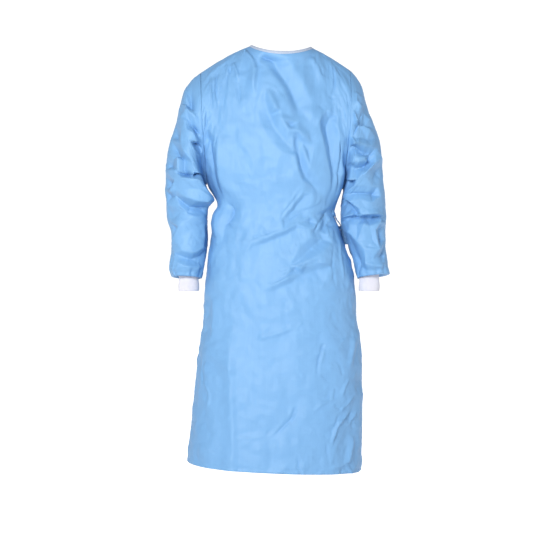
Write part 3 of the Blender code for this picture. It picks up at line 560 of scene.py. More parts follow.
@dataclass(frozen=True)
class BodyForm:
    """The body of the gown, cut in panels that are shares s across and rows v down."""

    neck_x: float = 0.0016
    neck_half_width: float = 0.0860
    neck_reach: dict = field(default_factory=lambda: {Side.FRONT: 0.085, Side.BACK: 0.072})
    neck_sides: tuple = (0.002, -0.003)
    neck_dip: dict = field(default_factory=lambda: {Side.FRONT: 0.0263, Side.BACK: 0.004})
    shoulder_tips: tuple = ((-0.2333, -0.078), (0.2047, -0.072))
    shoulder_bow: tuple = (0.0062, 0.004)
    armhole_ends: tuple = ((-0.2138, -0.405), (0.1800, -0.418))
    armhole_bow: tuple = (0.000, 0.006)
    armhole_half_depth: float = 0.090
    armhole_reach: float = 0.32
    hem_sides: tuple = (-1.207, -1.237)
    hem_dip: float = 0.003
    squareness: float = 2.35
    column_fan: float = 0.20
    column_out: tuple = (0.22, 0.14)
    column_down: tuple = (-0.06, -0.28)
    chest_pull: float = 0.36
    chest_look: float = 0.01
    shoulder_share: float = 8 / 26
    corner_round: float = 0.11
    half_sizes: tuple = (0.22, 0.15)
    sections: tuple = BODY_SECTIONS

    def section_column(self, name: str) -> np.ndarray:
        """Return one named column of the sections."""
        return np.array([getattr(section, name) for section in self.sections])

    def half_section(self, s: np.ndarray) -> tuple:
        """Walk half of a section with a half width and depth of 1 in equal steps of length.

        Args:
            s: Shares across.

        Returns:
            How far across (-1 to 1) and how far out (0 to 1) each share lies.
        """
        angle = np.linspace(math.pi, 0.0, 721)
        power = 2 / self.squareness
        across = np.sign(np.cos(angle)) * np.abs(np.cos(angle)) ** power
        out = np.abs(np.sin(angle)) ** power
        length = np.hypot(np.diff(across) * self.half_sizes[0], np.diff(out) * self.half_sizes[1])
        walked = np.concatenate(([0.0], np.cumsum(length)))
        walked /= walked[-1]
        return np.interp(s, walked, across), np.interp(s, walked, out)

    def at_height(self, side: Side, s: np.ndarray, z: np.ndarray) -> np.ndarray:
        """Return a point of the closed body tube at a height.

        Args:
            side: Front or back half.
            s: Shares across.
            z: Heights.

        Returns:
            The points.
        """
        keys = -self.section_column("z")
        left = smooth_curve(keys, self.section_column("left"), -z)
        right = smooth_curve(keys, self.section_column("right"), -z)
        depth = smooth_curve(keys, self.section_column(side.name.lower()), -z)
        across, out = self.half_section(s)
        return stack((left + right) / 2 + (right - left) / 2 * across, side.value * depth * out, z)

    def chest_height(self, s: np.ndarray) -> np.ndarray:
        """Return the height of the chest line, from one underarm to the other."""
        return mix(self.armhole_ends[0][1], self.armhole_ends[1][1], s)

    def skirt(self, side: Side, s: np.ndarray, share: np.ndarray) -> np.ndarray:
        """Return a point below the armholes: share 0 is the chest line and 1 is the hem."""
        hem = mix(*self.hem_sides, s) - self.hem_dip * np.sin(math.pi * s)
        return self.at_height(side, s, mix(self.chest_height(s), hem, share))

    def top_line(self, side: Side, s: np.ndarray) -> np.ndarray:
        """Return the shoulder seam, the neck edge and the other shoulder seam, as s goes from 0 to 1.

        Args:
            side: Front or back half.
            s: Shares across.

        Returns:
            The points.
        """
        share = self.shoulder_share
        turn = np.clip((s - share) / (1 - 2 * share), 0.0, 1.0) * math.pi - math.pi / 2
        round_part = np.maximum(np.cos(turn), 0.0)
        neck = stack(self.neck_x + self.neck_half_width * np.sin(turn),
                     side.value * self.neck_reach[side] * round_part,
                     mix(*self.neck_sides, (1 + np.sin(turn)) / 2) - self.neck_dip[side] * round_part ** 1.5)
        left = s < 0.5
        end_x = np.where(left, self.shoulder_tips[0][0], self.shoulder_tips[1][0])
        end_z = np.where(left, self.shoulder_tips[0][1], self.shoulder_tips[1][1])
        bow = np.where(left, *self.shoulder_bow)
        part = np.minimum(s, 1 - s) / share
        shoulder = stack(mix(end_x, neck[..., 0], part), 0.0,
                         mix(end_z, neck[..., 2], part) + bow * np.sin(math.pi * np.clip(part, 0, 1)))
        return np.where((part < 1)[..., None], shoulder, neck)

    def armhole(self, side: Side, end: End, t: np.ndarray) -> np.ndarray:
        """Return the front or back edge of an armhole, from the shoulder to the underarm.

        Args:
            side: Front or back half.
            end: The wearer's arm.
            t: Shares of the way down.

        Returns:
            The points.
        """
        tip, foot = self.shoulder_tips[end.value], self.armhole_ends[end.value]
        x = mix(tip[0], foot[0], t) + end.outwards * self.armhole_bow[end.value] * np.sin(math.pi * t)
        y = side.value * self.armhole_half_depth * np.sin(math.pi * t ** 0.8)
        return stack(x, y, mix(tip[1], foot[1], t))

    def yoke_column(self, side: Side, s: np.ndarray, t: np.ndarray) -> np.ndarray:
        """Return cloth that hangs from the top line to the chest line.

        Args:
            side: Front or back half.
            s: Shares across.
            t: Shares of the way down.

        Returns:
            The points.
        """
        tip_share = self.shoulder_share
        from_tip = np.minimum(s, 1 - s)
        at_neck = ease((from_tip - 0.6 * tip_share) / (0.5 - 0.6 * tip_share))
        fan = np.where(from_tip < tip_share, (from_tip / tip_share) ** 2,
                       np.cos(math.pi / 2 * (from_tip - tip_share) / (0.5 - tip_share)))
        leave = stack(np.where(s < 0.5, -self.column_fan, self.column_fan) * fan,
                      side.value * mix(*self.column_out, at_neck), mix(*self.column_down, at_neck))
        top, chest = self.top_line(side, s), self.skirt(side, s, np.zeros_like(s))
        below = self.at_height(side, s, self.chest_height(s) - self.chest_look)
        arrive = (below - chest) / self.chest_look * self.chest_pull
        t = t[..., None]
        return (top * (1 + 2 * t) * (1 - t) ** 2 + leave * t * (1 - t) ** 2
                + chest * t * t * (3 - 2 * t) - arrive * t * t * (1 - t))

    def yoke(self, side: Side, s: np.ndarray, t: np.ndarray) -> np.ndarray:
        """Return a point above the chest line: t 0 is the top line and 1 is the chest line.

        Args:
            side: Front or back half.
            s: Shares across.
            t: Shares of the way down.

        Returns:
            The points.
        """
        reach = self.corner_round * ease(t / 0.2) * ease((1 - t) / 0.45) * ease(np.minimum(s, 1 - s) / 0.2)
        taps = [self.yoke_column(side, s + reach * step, t) for step in (-1.0, -0.6, -0.2, 0.2, 0.6, 1.0)]
        place = sum(taps) / len(taps)
        for end, distance in ((End.RIGHT, s), (End.LEFT, 1 - s)):
            edge = np.full_like(s, float(end.value))
            pull = np.clip(1 - distance / self.armhole_reach, 0.0, 1.0) ** 2
            place = place + (self.armhole(side, end, t) - self.yoke_column(side, edge, t)) * pull[..., None]
        return place

    def place(self, side: Side, s: np.ndarray, v: np.ndarray) -> np.ndarray:
        """Return the plain body: v runs 0 to 1 down the yoke and 1 to 2 down the skirt.

        Args:
            side: Front or back half.
            s: Shares across.
            v: Rows down.

        Returns:
            The points.
        """
        upper = self.yoke(side, s, np.clip(v, 0.0, 1.0))
        lower = self.skirt(side, s, np.clip(v - 1, 0.0, 1.0))
        return np.where((v < 1)[..., None], upper, lower)

    def normal(self, side: Side, s: np.ndarray, v: np.ndarray) -> np.ndarray:
        """Return the plain body's outward normals.

        Args:
            side: Front or back half.
            s: Shares across.
            v: Rows down.

        Returns:
            The normals, at length 1.
        """
        tiny = 1e-4
        s_low, s_high = np.maximum(s - tiny, 0), np.minimum(s + tiny, 1)
        v_low, v_high = np.maximum(v - tiny, 0), np.minimum(v + tiny, 2)
        across = self.place(side, s_high, v) - self.place(side, s_low, v)
        down = self.place(side, s, v_high) - self.place(side, s, v_low)
        return unit(np.cross(across, down) * side.value)


FRONT_FACETS = (
    (-182, -244, 1), (-178, -278, 5), (-177, -313, 6), (-176, -355, 6), (-172, -392, 5), (-156, -452, 3),
    (-204, -284, -5), (-204, -327, -8), (-200, -369, -7), (-190, -415, -4), (-136, -278, -1),
    (-136, -335, 0), (-133, -392, 0), (-213, -250, 0), (-219, -341, 0), (128, -196, 2), (106, -226, 4),
    (109, -250, 4), (120, -284, 3), (130, -327, 3), (137, -375, 3), (144, -421, 2), (141, -219, -6),
    (135, -244, -9), (140, -278, -8), (148, -327, -7), (155, -375, -6), (165, -216, 1), (163, -241, 3),
    (165, -284, 4), (168, -327, 4), (170, -375, 4), (83, -233, 0), (89, -298, 0), (-43, -131, 1),
    (-29, -162, 5), (-15, -195, 7), (3, -227, 7), (21, -257, 5), (-46, -168, -3), (-32, -212, -6),
    (-14, -256, -6), (17, -293, -4), (37, -318, -1), (-71, -182, 1), (-59, -233, 1), (-37, -278, 1),
    (0, -318, 1), (-1, -203, 2), (27, -241, -2), (50, -232, 1), (-21, -142, 0), (43, -259, 6),
    (61, -274, 6), (91, -313, 2), (30, -270, 1), (46, -272, -2), (60, -288, -3), (80, -320, -2),
    (80, -261, 1), (45, -290, -5), (52, -327, -6), (60, -364, -6), (71, -388, -5), (100, -421, -4),
    (125, -446, -2), (34, -287, 2), (41, -330, 3), (48, -369, 4), (60, -401, 3), (89, -438, 2),
    (70, -327, 3), (81, -362, 3), (106, -392, 2), (128, -415, 1), (-139, -483, -5), (-162, -522, -5),
    (-143, -535, -4), (-169, -568, -2), (-177, -489, 5), (-184, -529, 5), (-116, -517, 0), (-54, -714, 0),
    (-27, -702, 3), (17, -677, 5), (56, -647, 7), (120, -633, 5), (145, -628, 2), (-22, -714, -1),
    (22, -694, -3), (61, -667, -5), (117, -652, -4), (148, -642, -1), (26, -642, 0), (144, -578, 4),
    (107, -610, 5), (77, -631, 5), (124, -563, -4), (87, -594, -5), (56, -624, -3), (54, -586, 1),
    (83, -563, 2), (131, -523, -5), (113, -546, -5), (144, -537, 3), (131, -556, 3), (106, -523, 2),
    (80, -540, 1), (-82, -577, 2), (-42, -564, 4), (9, -544, 4), (43, -523, 3), (83, -502, 3),
    (134, -476, 2), (-79, -586, -1), (-39, -574, -3), (12, -554, -3), (46, -534, -2), (86, -513, -3),
    (131, -487, -2), (2, -510, 2), (29, -477, 3), (63, -432, 2), (9, -514, -1), (36, -485, -2),
    (70, -441, -1), (-59, -469, 0), (-45, -412, 0), (-184, -577, 0), (-190, -620, 1), (-156, -614, -1),
    (-116, -631, 0), (-88, -668, 0), (-159, -696, 0), (182, -631, 0), (197, -711, 0), (111, -711, 0),
    (162, -526, 0), (157, -469, -2), (-205, -110, 0), (-150, -115, 0), (-100, -120, 0), (-62, -100, 0),
    (-8, -112, 0), (45, -140, 0), (85, -105, 0), (96, -165, 0), (150, -150, 0), (185, -140, 0),
    (-150, -180, 0), (-200, -195, 0), (-105, -225, 0), (58, -190, 0), (-150, -760, 0), (-60, -765, 0),
    (40, -745, 0), (150, -735, 0), (-220, -700, 0), (-230, -480, 0), (-225, -420, 0), (215, -600, 0),
    (190, -480, 0), (188, -330, 0), (-100, -450, 0), (-90, -350, 0),
)
FRONT_FOLDS = folds(
    ((-50, -60, 0, -100, 34, -150, 58, -237), 30, -3),
    ((60, -53, 80, -93, 98, -130), 22, -4),
    ((-110, -120, -100, -190, -60, -290), 26, -3),
    ((-137, -840, -139, -1022, -141, -1230), 20, 3),
    ((108, -860, 102, -950, 138, -1010), 22, -3),
    ((195, -1090, 182, -1180, 190, -1240), 20, -4),
    ((43, -1029, -20, -1104, -40, -1240), 24, -3),
)
FRONT_CREASES = creases(
    # chest and shoulders
    ((-102, -20, -80, -48, -71.5, -78, -72.5, -98, -76, -145, -69, -172), 8, (28, 6), (0.03, 0.4)),
    ((-60, -34, -31, -50, -4, -86, 18, -114, 34, -145, 47, -182, 54, -219, 56, -240), -9.5, (21, 42),
     (0.04, 0.35)),
    ((-137, -54, -125, -85, -121, -115), 4.3, (11.2, 4), (0.1, 0.4)),
    ((-160, -60, -150, -100, -152, -150), 2.3, (6, 7.2), (0.1, 0.6)),
    ((-126, -120, -120, -150, -120, -185), -2.8, (7.2, 7.2), (0.4, 0.4)),
    ((-80, -165, -78, -210, -77, -265), -1.4, (3.6, 3.6), (0.3, 0.4)),
    ((-46, -124, -34, -144, -20, -160), -1.3, (3.6, 3.6), (0.3, 0.4)),
    ((-26, -122, -6, -150, 16, -180), 1.3, (3.6, 3.6), (0.3, 0.4)),
    ((86, -36, 108, -75, 130, -130), 2.5, (11.2, 8), (0.1, 0.6)),
    ((150, -60, 156, -105, 148, -160), -1.9, (4.8, 3.6), (0.1, 0.6)),
    ((-205, -88, -202, -130, -196, -195), 2.8, (3.6, 6), (0.2, 0.5)),
    ((-186, -80, -187, -140, -178, -200), -2.8, (3.6, 6), (0.2, 0.5)),
    ((-180, -255, -186, -280, -194, -310), 1.7, (3.6, 3.6)),
    ((108, -180, 120, -192, 130, -196), -1.4, (3.6, 3.6)),
    ((134, -150, 150, -160, 160, -158), -1.3, (3.6, 3.6)),
    ((169, -280, 170, -330, 160, -420), -4.8, (4.2, 4.2), (0.2, 0.2)),
    # waist
    ((-158, -462, -141, -480, -150, -505, -158, -520, -140, -533), -4.2, (3.6, 6), (0.15, 0.15)),
    ((-76, -392, -35, -390, 30, -378), -0.9, (3.6, 3.6)),
    ((-150, -404, -110, -398, -80, -396), -0.7, (3.6, 3.6)),
    ((0, -500, 26, -468, 60, -428), -1.9, (3.6, 3.6), (0.2, 0.3)),
    ((30, -452, 44, -432, 56, -420), 1, (3.6, 3.6)),
    ((12, -516, 46, -494, 90, -476, 128, -458), -2.3, (3.6, 4.2), (0.2, 0.15)),
    ((30, -522, 60, -514, 94, -511), -1.3, (3.6, 3.6)),
    ((-90, -566, -48, -553, 6, -534), -2.5, (3.6, 4.8), (0.2, 0.3)),
    ((134, -490, 110, -516, 94, -552), -4.2, (4.8, 3.6), (0.1, 0.3)),
    ((146, -500, 134, -530, 130, -570), 2.5, (3.6, 3.6), (0.1, 0.4)),
    ((-32, -694, 14, -672, 52, -642, 108, -628, 130, -626), -3.5, (4.2, 3.6), (0.2, 0.2)),
    ((-10, -656, 6, -652, 24, -648), -1, (3.6, 3.6)),
    ((-4, -668, 12, -662, 30, -654), -1, (3.6, 3.6)),
    ((70, -640, 86, -648, 106, -644), 1.4, (3.6, 3.6)),
    ((-168, -680, -140, -672, -110, -654), -1.4, (4.8, 3.6)),
    ((-58, -626, -60, -650, -50, -672), -0.7, (3.6, 3.6)),
    ((-196, -560, -165, -590, -120, -605), 1.4, (7.2, 4.8), (0.1, 0.5)),
    ((166, -560, 170, -620, 186, -700), 2.8, (6, 3.6), (0.2, 0.4)),
    ((148, -575, 146, -640, 160, -720), -1.9, (4.8, 4.8), (0.3, 0.4)),
    # skirt
    ((-146, -845, -142, -952, -139, -1030, -135, -1100, -136, -1246), 3.4, (36, 16), (0.2, 0.02)),
    ((-196, -720, -190, -790, -200, -870), 2.9, (9.6, 24)),
    ((-71, -850, -31, -840, -3, -833, 40, -817), 2.3, (5.6, 12.8), (0.2, 0.3)),
    ((41, -821, 50, -812, 61, -800), 1.3, (3.6, 3.6)),
    ((-129, -1129, -90, -1127, -45, -1124), 1.4, (4.2, 4.2), (0.3, 0.3)),
    ((-47, -1121, -34, -1108, -22, -1094), -1.4, (3.6, 3.6)),
    ((-36, -1126, -18, -1110, 4, -1088), 1.3, (3.6, 3.6)),
    ((126, -854, 115, -881, 104, -928, 106, -966), -2.9, (5.4, 3.6), (0.2, 0.4)),
    ((131, -861, 120, -886, 110, -930), 1.9, (3.6, 6)),
    ((108, -945, 122, -958, 140, -974), -1.9, (3.6, 4.8)),
    ((45, -1030, 31, -1069, 4, -1096, -20, -1122), -3.2, (7.2, 7.2), (0.2, 0.3)),
    ((88, -1057, 112, -1036, 141, -1023), 2, (4.2, 7.2)),
    ((151, -985, 146, -1006, 145, -1024), 2.8, (3.6, 4.8), (0.3, 0.1)),
    ((148, -1033, 160, -1044, 174, -1053), -2.3, (3.6, 3.6)),
    ((211, -1009, 190, -1032, 168, -1053), 2.9, (3.6, 5.4), (0.3, 0.1)),
    ((192, -1060, 160, -1094, 150, -1120, 134, -1170), 3.8, (6, 7.2), (0.15, 0.4)),
    ((216, -1055, 205, -1078, 192, -1100), 2.9, (4.2, 4.2)),
    ((204, -1054, 196, -1068, 184, -1084), -2.5, (3.6, 3.6)),
    ((170, -1060, 158, -1078, 150, -1104), -2.3, (3.6, 4.2)),
    ((210, -1125, 199, -1178, 189, -1206), 4.2, (14.4, 8), (0.3, 0.08)),
    ((190, -1205, 165, -1209, 137, -1215), 2.5, (11.2, 8), (0.08, 0.4)),
    ((188, -1204, 198, -1224, 207, -1246), 3.5, (6, 4.8), (0.08, 0.05)),
    ((178, -1218, 170, -1234, 163, -1250), -2.5, (5.4, 4.8), (0.4, 0.05)),
    ((122, -1216, 108, -1230, 94, -1244), 2, (4.8, 6), (0.3, 0.1)),
    ((45, -1172, 50, -1205, 52, -1244), -2.5, (3.6, 4.8), (0.3, 0.05)),
    ((62, -1185, 63, -1215, 64, -1244), 1.4, (3.6, 3.6), (0.4, 0.05)),
    ((124, -1126, 130, -1160, 134, -1200), -1.7, (4.8, 3.6)),
    ((211, -838, 207, -880, 190, -940), 4, (11.2, 12.8), (0.25, 0.35)),
    ((164, -868, 173, -859, 183, -848), 1.7, (3.6, 3.6)),
    ((150, -905, 168, -925, 176, -960), -1.7, (4.8, 4.8)),
    ((196, -960, 178, -990, 170, -1020), 2.5, (4.8, 4.8)),
    ((20, -705, 12, -770, 20, -840), -1.1, (16, 11.2)),
    ((-80, -900, -86, -990, -80, -1060), -1.1, (12.8, 16)),
    ((-224, -960, -205, -1010, -215, -1060), 2.8, (4.8, 7.2)),
    ((-215, -905, -226, -940, -218, -985), -2.8, (4.8, 6)),
    ((-218, -1150, -196, -1172, -180, -1170), 1.4, (4.8, 4.8)),
)
BACK_FOLDS = folds(
    ((90, -70, 60, -150, 50, -260), 24, -7),
    ((-100, -80, -80, -160, -75, -270), 24, -6),
    ((-175, -220, -165, -320, -140, -420), 20, -9),
    ((160, -220, 150, -300, 120, -400), 20, -8),
    ((20, -500, -60, -540, -140, -600), 20, -6),
    ((50, -520, 20, -590, -50, -680), 20, -6),
    ((-60, -440, -120, -460, -150, -480), 18, 4),
    ((30, -760, 10, -950, 15, -1230), 28, 7),
    ((-110, -820, -130, -1000, -140, -1230), 26, 6),
    ((-40, -900, -55, -1050, -60, -1230), 24, -5),
    ((150, -860, 165, -1040, 175, -1230), 24, -6),
)
BACK_CREASES = creases(
    ((-98, -30, -85, -75, -60, -130, -52, -200), -3.4, (11.2, 8), (0.05, 0.5)),
    ((98, -26, 78, -80, 64, -150, 58, -220), 3.8, (8, 19.2), (0.05, 0.5)),
    ((-140, -50, -136, -100, -120, -170), 2.9, (12.8, 6.4), (0.1, 0.5)),
    ((140, -52, 132, -110, 140, -180), -2.9, (6.4, 11.2), (0.1, 0.5)),
    ((-20, -90, -8, -180, -20, -280), 2.1, (8, 14.4)),
    ((20, -120, 34, -220, 26, -330), -2.1, (8, 11.2)),
    ((-196, -190, -182, -250, -160, -330, -150, -420), -4.7, (8, 14.4), (0.2, 0.3)),
    ((-160, -240, -140, -320, -118, -400), 3.6, (7.2, 14.4)),
    ((176, -190, 162, -260, 140, -340, 126, -430), 4.4, (12.8, 8), (0.2, 0.3)),
    ((132, -220, 120, -300, 98, -380), -3.5, (7.2, 5.4)),
    ((-176, -470, -110, -482, -50, -500, 20, -506), -3.4, (8, 11.2), (0.1, 0.4)),
    ((-150, -440, -90, -452, -30, -446), 2.9, (6, 6)),
    ((130, -470, 80, -492, 30, -486), 2.9, (6.4, 11.2), (0.1, 0.5)),
    ((120, -510, 70, -540, 10, -590), -4.6, (7.2, 6), (0.1, 0.4)),
    ((110, -530, 50, -600, 20, -670), 3.4, (7.2, 14.4), (0.1, 0.5)),
    ((-160, -520, -110, -560, -60, -620), -3.6, (7.2, 11.2), (0.1, 0.5)),
    ((-180, -560, -150, -620, -120, -700), 3.2, (11.2, 7.2), (0.1, 0.5)),
    ((-70, -640, -80, -740, -74, -850), 2.7, (17.6, 9.6)),
    ((120, -620, 130, -720, 124, -840), -2.9, (8, 12.8)),
    ((30, -720, 14, -860, 10, -1020, 16, -1246), 3.8, (24, 11.2), (0.25, 0.02)),
    ((-120, -780, -130, -950, -138, -1100, -140, -1246), 3.6, (11.2, 24), (0.25, 0.02)),
    ((-46, -900, -55, -1020, -60, -1246), -2.9, (12.8, 9.6), (0.3, 0.02)),
    ((152, -860, 164, -1010, 176, -1246), -3.4, (11.2, 16), (0.25, 0.02)),
    ((196, -820, 204, -960, 196, -1120), 3, (11.2, 8)),
    ((-210, -760, -222, -880, -226, -1040), 3.2, (9.6, 11.2)),
    ((90, -900, 60, -930, 34, -924), -1.9, (4.8, 4.8)),
    ((-170, -1020, -190, -1070, -184, -1130), -2, (4.8, 4.8)),
    ((100, -1110, 120, -1160, 116, -1210), 2, (4.8, 4.8)),
    ((-100, -1140, -84, -1180, -90, -1240), 1.9, (4.8, 4.8), (0.3, 0.1)),
)


@dataclass
class GownBody:
    """The front panel and the two back flaps, which wrap one over the other."""

    form: BodyForm = field(default_factory=BodyForm)
    steps: int = 26
    fine: int = 6
    yoke_rows: int = 98
    skirt_rows: int = 198
    cloth: float = 0.0006
    seam_gap: float = 0.00035
    panel_width: float = 0.64
    yoke_length: float = 0.40
    skirt_length: float = 0.82
    outer_reach: tuple = (0.60, 0.73, 0.78, 0.76)
    inner_reach: tuple = (0.42, 0.30, 0.26, 0.28)
    reach_rows: tuple = (0.0, 0.7, 1.1, 2.0)
    flap_step: float = 0.006
    flap_ramp: tuple = (0.07, 0.13)
    flap_steps: tuple = (16, 14)
    edge_lift: float = 0.0022
    quiet_sides: float = 0.09
    binding_row: float = 0.04
    quiet_top: float = 0.06
    quiet_crumple: float = 0.035
    inner_shift: float = 0.7
    settle_rows: float = 0.09
    settle_rounds: int = 36
    edge_reach: float = 0.045
    seam: Seam = Seam(0.00035, 41)
    hem: Hem = Hem()
    front: Relief = field(default_factory=lambda: Relief(
        (Facets(FRONT_FACETS, 2.0, soften=0.0008),) + FRONT_FOLDS, FRONT_CREASES,
        ((Waves(11, 0.190), 0.0011), (Waves(12, 0.070), 0.00035)),
        (Crumple(3, 0.0030), Crumple(4, 0.0011, (0.018, 0.044))),
        (Nicks(5, 70, (-0.30, -1.22), (0.31, -0.02)),
         Nicks(6, 85, (0.12, -1.20), (0.31, -0.86), (0.012, 0.045), (0.0006, 0.0016), (0.5, 2.2)),
         Nicks(7, 26, (0.10, -0.86), (0.31, -0.45), (0.015, 0.050), (0.0004, 0.0012)),
         Nicks(8, 26, (-0.31, -1.20), (-0.20, -0.45), (0.015, 0.050), (0.0005, 0.0013)))))
    back: Relief = field(default_factory=lambda: Relief(
        BACK_FOLDS, BACK_CREASES,
        ((Waves(21, 0.200), 0.0013), (Waves(22, 0.075), 0.0004)),
        (Crumple(23, 0.0030), Crumple(24, 0.0011, (0.018, 0.044))),
        (Nicks(25, 90, (-0.31, -1.22), (0.31, -0.02)),
         Nicks(26, 60, (-0.31, -1.20), (0.0, -0.80), (0.012, 0.050), (0.0005, 0.0014)))))

    def rows(self) -> np.ndarray:
        """Return the rows v of the fine grids, from the top line to the hem."""
        top = np.linspace(0.0, 1.0, self.yoke_rows + 1)
        return np.concatenate((top, 1 + np.linspace(0.0, 1.0, self.skirt_rows + 1)[1:]))

    def reach(self, reaches: tuple, v: np.ndarray) -> np.ndarray:
        """Return how far a back flap reaches across at each row."""
        return smooth_curve(np.array(self.reach_rows), np.array(reaches), v)

    def flat(self, s: np.ndarray, v: np.ndarray) -> tuple:
        """Return places on the flat cloth: across from the panel's middle, and down from its top."""
        down = self.yoke_length * np.clip(v, 0, 1) + self.skirt_length * np.clip(v - 1, 0, 1)
        return (s - 0.5) * self.panel_width, -down

    def lift(self, side: Side, s: np.ndarray, v: np.ndarray, place: np.ndarray, inner: bool) -> np.ndarray:
        """Return how far folds, creases, seams and layers move the cloth out along its normal.

        Args:
            side: Front or back half.
            s: Shares across.
            v: Rows down.
            place: Points of the plain form.
            inner: True for the flap that lies under the other.

        Returns:
            The move along the normal, in metres.
        """
        relief = self.front if side is Side.FRONT else self.back
        q, p = self.flat(s, v)
        from_side = np.minimum(s, 1 - s)
        share = self.form.shoulder_share
        placed = relief.placed(place[..., 0], place[..., 2])
        placed *= ease(from_side / self.quiet_sides) * ease((v - self.binding_row * 0.7) / self.quiet_top)
        if inner:
            q = q + self.inner_shift
        scattered = relief.scattered(q, p) * ease(from_side / self.quiet_crumple)
        scattered *= ease((v - self.binding_row) / self.quiet_top)
        on_shoulder = np.where(from_side < share, v * self.yoke_length, 1.0)
        to_seam = np.minimum(from_side * self.panel_width, on_shoulder)
        to_hem = (2 - v) * self.skirt_length
        total = placed + scattered + self.seam.lift(to_seam, p, q, p) + self.hem.lift(to_hem, q, p)
        if inner:
            ramp = mix(*self.flap_ramp, ease(v))
            edge = self.reach(self.outer_reach, v) + 0.02
            total = total - self.flap_step * ease((edge + ramp - s) / ramp)
        elif side is Side.BACK:
            to_edge = (self.reach(self.outer_reach, v) - s) * self.panel_width
            flutter = 0.6 + 0.4 * Waves(43, 0.16).at(q * 0.2, p)
            near_edge = ease(1 - to_edge / self.edge_reach)
            total = total + self.edge_lift * flutter * near_edge * ease((v - 0.1) / 0.2)
        return total

    def cloth_at(self, side: Side, s: np.ndarray, v: np.ndarray, inner: bool = False) -> tuple:
        """Return finished points of the cloth's outer face and their plain normals.

        Args:
            side: Front or back half.
            s: Shares across.
            v: Rows down.
            inner: True for the flap that lies under the other.

        Returns:
            The points and the normals.
        """
        s, v = np.broadcast_arrays(np.asarray(s, float), np.asarray(v, float))
        place, normal = self.form.place(side, s, v), self.form.normal(side, s, v)
        return place + normal * self.lift(side, s, v, place, inner)[..., None], normal

    def within_seams(self, s: np.ndarray, v: np.ndarray) -> tuple:
        """Stand a grid's edges back from the seams by half of the seam gap.

        Args:
            s: Shares across.
            v: Rows down.

        Returns:
            The shares and rows, moved in.
        """
        half = self.seam_gap / 2
        s = np.clip(s, half / self.panel_width, 1 - half / self.panel_width)
        return s, np.maximum(v, half / self.yoke_length)

    def flap_columns(self, reaches: tuple, steps: int, from_left_arm: bool) -> np.ndarray:
        """Return the shares s of a back flap's columns, a row for each v.

        Args:
            reaches: How far the flap reaches across, at the reach rows.
            steps: Coarse steps across the flap.
            from_left_arm: True for the flap that starts at the wearer's left.

        Returns:
            The shares, a row for each v.
        """
        rows = self.rows()
        part = np.arange(steps * self.fine + 1) / (steps * self.fine)
        reach = self.reach(reaches, rows)
        to_edge = (1 - reach) if from_left_arm else reach
        even = part[None, :] * to_edge[:, None]
        share = self.form.shoulder_share
        shoulder_steps = round(share * self.steps)
        shoulder = np.arange(shoulder_steps * self.fine + 1) / (self.steps * self.fine)
        neck_steps = (steps - shoulder_steps) * self.fine
        neck = mix(share, to_edge[0], np.arange(1, neck_steps + 1) / neck_steps)
        columns = mix(np.concatenate((shoulder, neck))[None, :], even, ease(np.clip(rows, 0, 1))[:, None])
        return 1 - columns if from_left_arm else columns

    def settle(self, points: np.ndarray, s: np.ndarray, v: np.ndarray) -> np.ndarray:
        """Return a grid's points with the bend at the chest line smoothed beside the armholes' feet.

        Args:
            points: The grid's points, which are changed.
            s: Shares across.
            v: Rows down.

        Returns:
            The same points.
        """
        from_side = np.minimum(s, 1 - s)
        share = ease(1 - np.abs(v - 1) / self.settle_rows)
        share = share * ease(from_side / 0.03) * ease((0.30 - from_side) / 0.15)
        for _ in range(self.settle_rounds):
            middle = (points[:-2] + points[2:]) / 2
            points[1:-1] += (middle - points[1:-1]) * share[1:-1, :, None] * 0.5
        return points

    def front_panel(self) -> bpy.types.Object:
        """Build the front panel.

        Returns:
            The panel.
        """
        s, v = np.meshgrid(np.arange(self.steps * self.fine + 1) / (self.steps * self.fine), self.rows())
        s, v = self.within_seams(s, v)
        points = self.settle(self.cloth_at(Side.FRONT, s, v)[0], s, v)
        return cloth_piece("gown_front", points, np.stack(self.flat(s, v), axis=-1), self.cloth)

    def back_panel(self, name: str, outer: bool) -> bpy.types.Object:
        """Build one of the two back flaps.

        Args:
            name: Name of the piece.
            outer: True for the flap that lies over the other.

        Returns:
            The flap.
        """
        reaches = self.outer_reach if outer else self.inner_reach
        s = self.flap_columns(reaches, self.flap_steps[0 if outer else 1], not outer)
        v = np.broadcast_to(self.rows()[:, None], s.shape)
        s, v = self.within_seams(s, v)
        points = self.settle(self.cloth_at(Side.BACK, s, v, inner=not outer)[0], s, v)
        flat = np.stack(self.flat(s, v), axis=-1)
        return cloth_piece(name, points, flat, self.cloth, flip=outer)


# ---------------------------------------------------------------- sleeves and cuffs
@dataclass(frozen=True)
class SleeveRing:
    """One ring of a sleeve, from the armhole (along 0) to the sleeve's end (along 1)."""

    along: float
    outer_x: float
    outer_z: float
    inner_x: float
    inner_z: float
    half_depth: float
    outer_y: float
    inner_y: float


def rings(*rows: tuple) -> tuple:
    """Return a sleeve's rings from rows: the share along it, then the other fields in millimetres."""
    return tuple(SleeveRing(along, *map(metres, rest)) for along, *rest in rows)


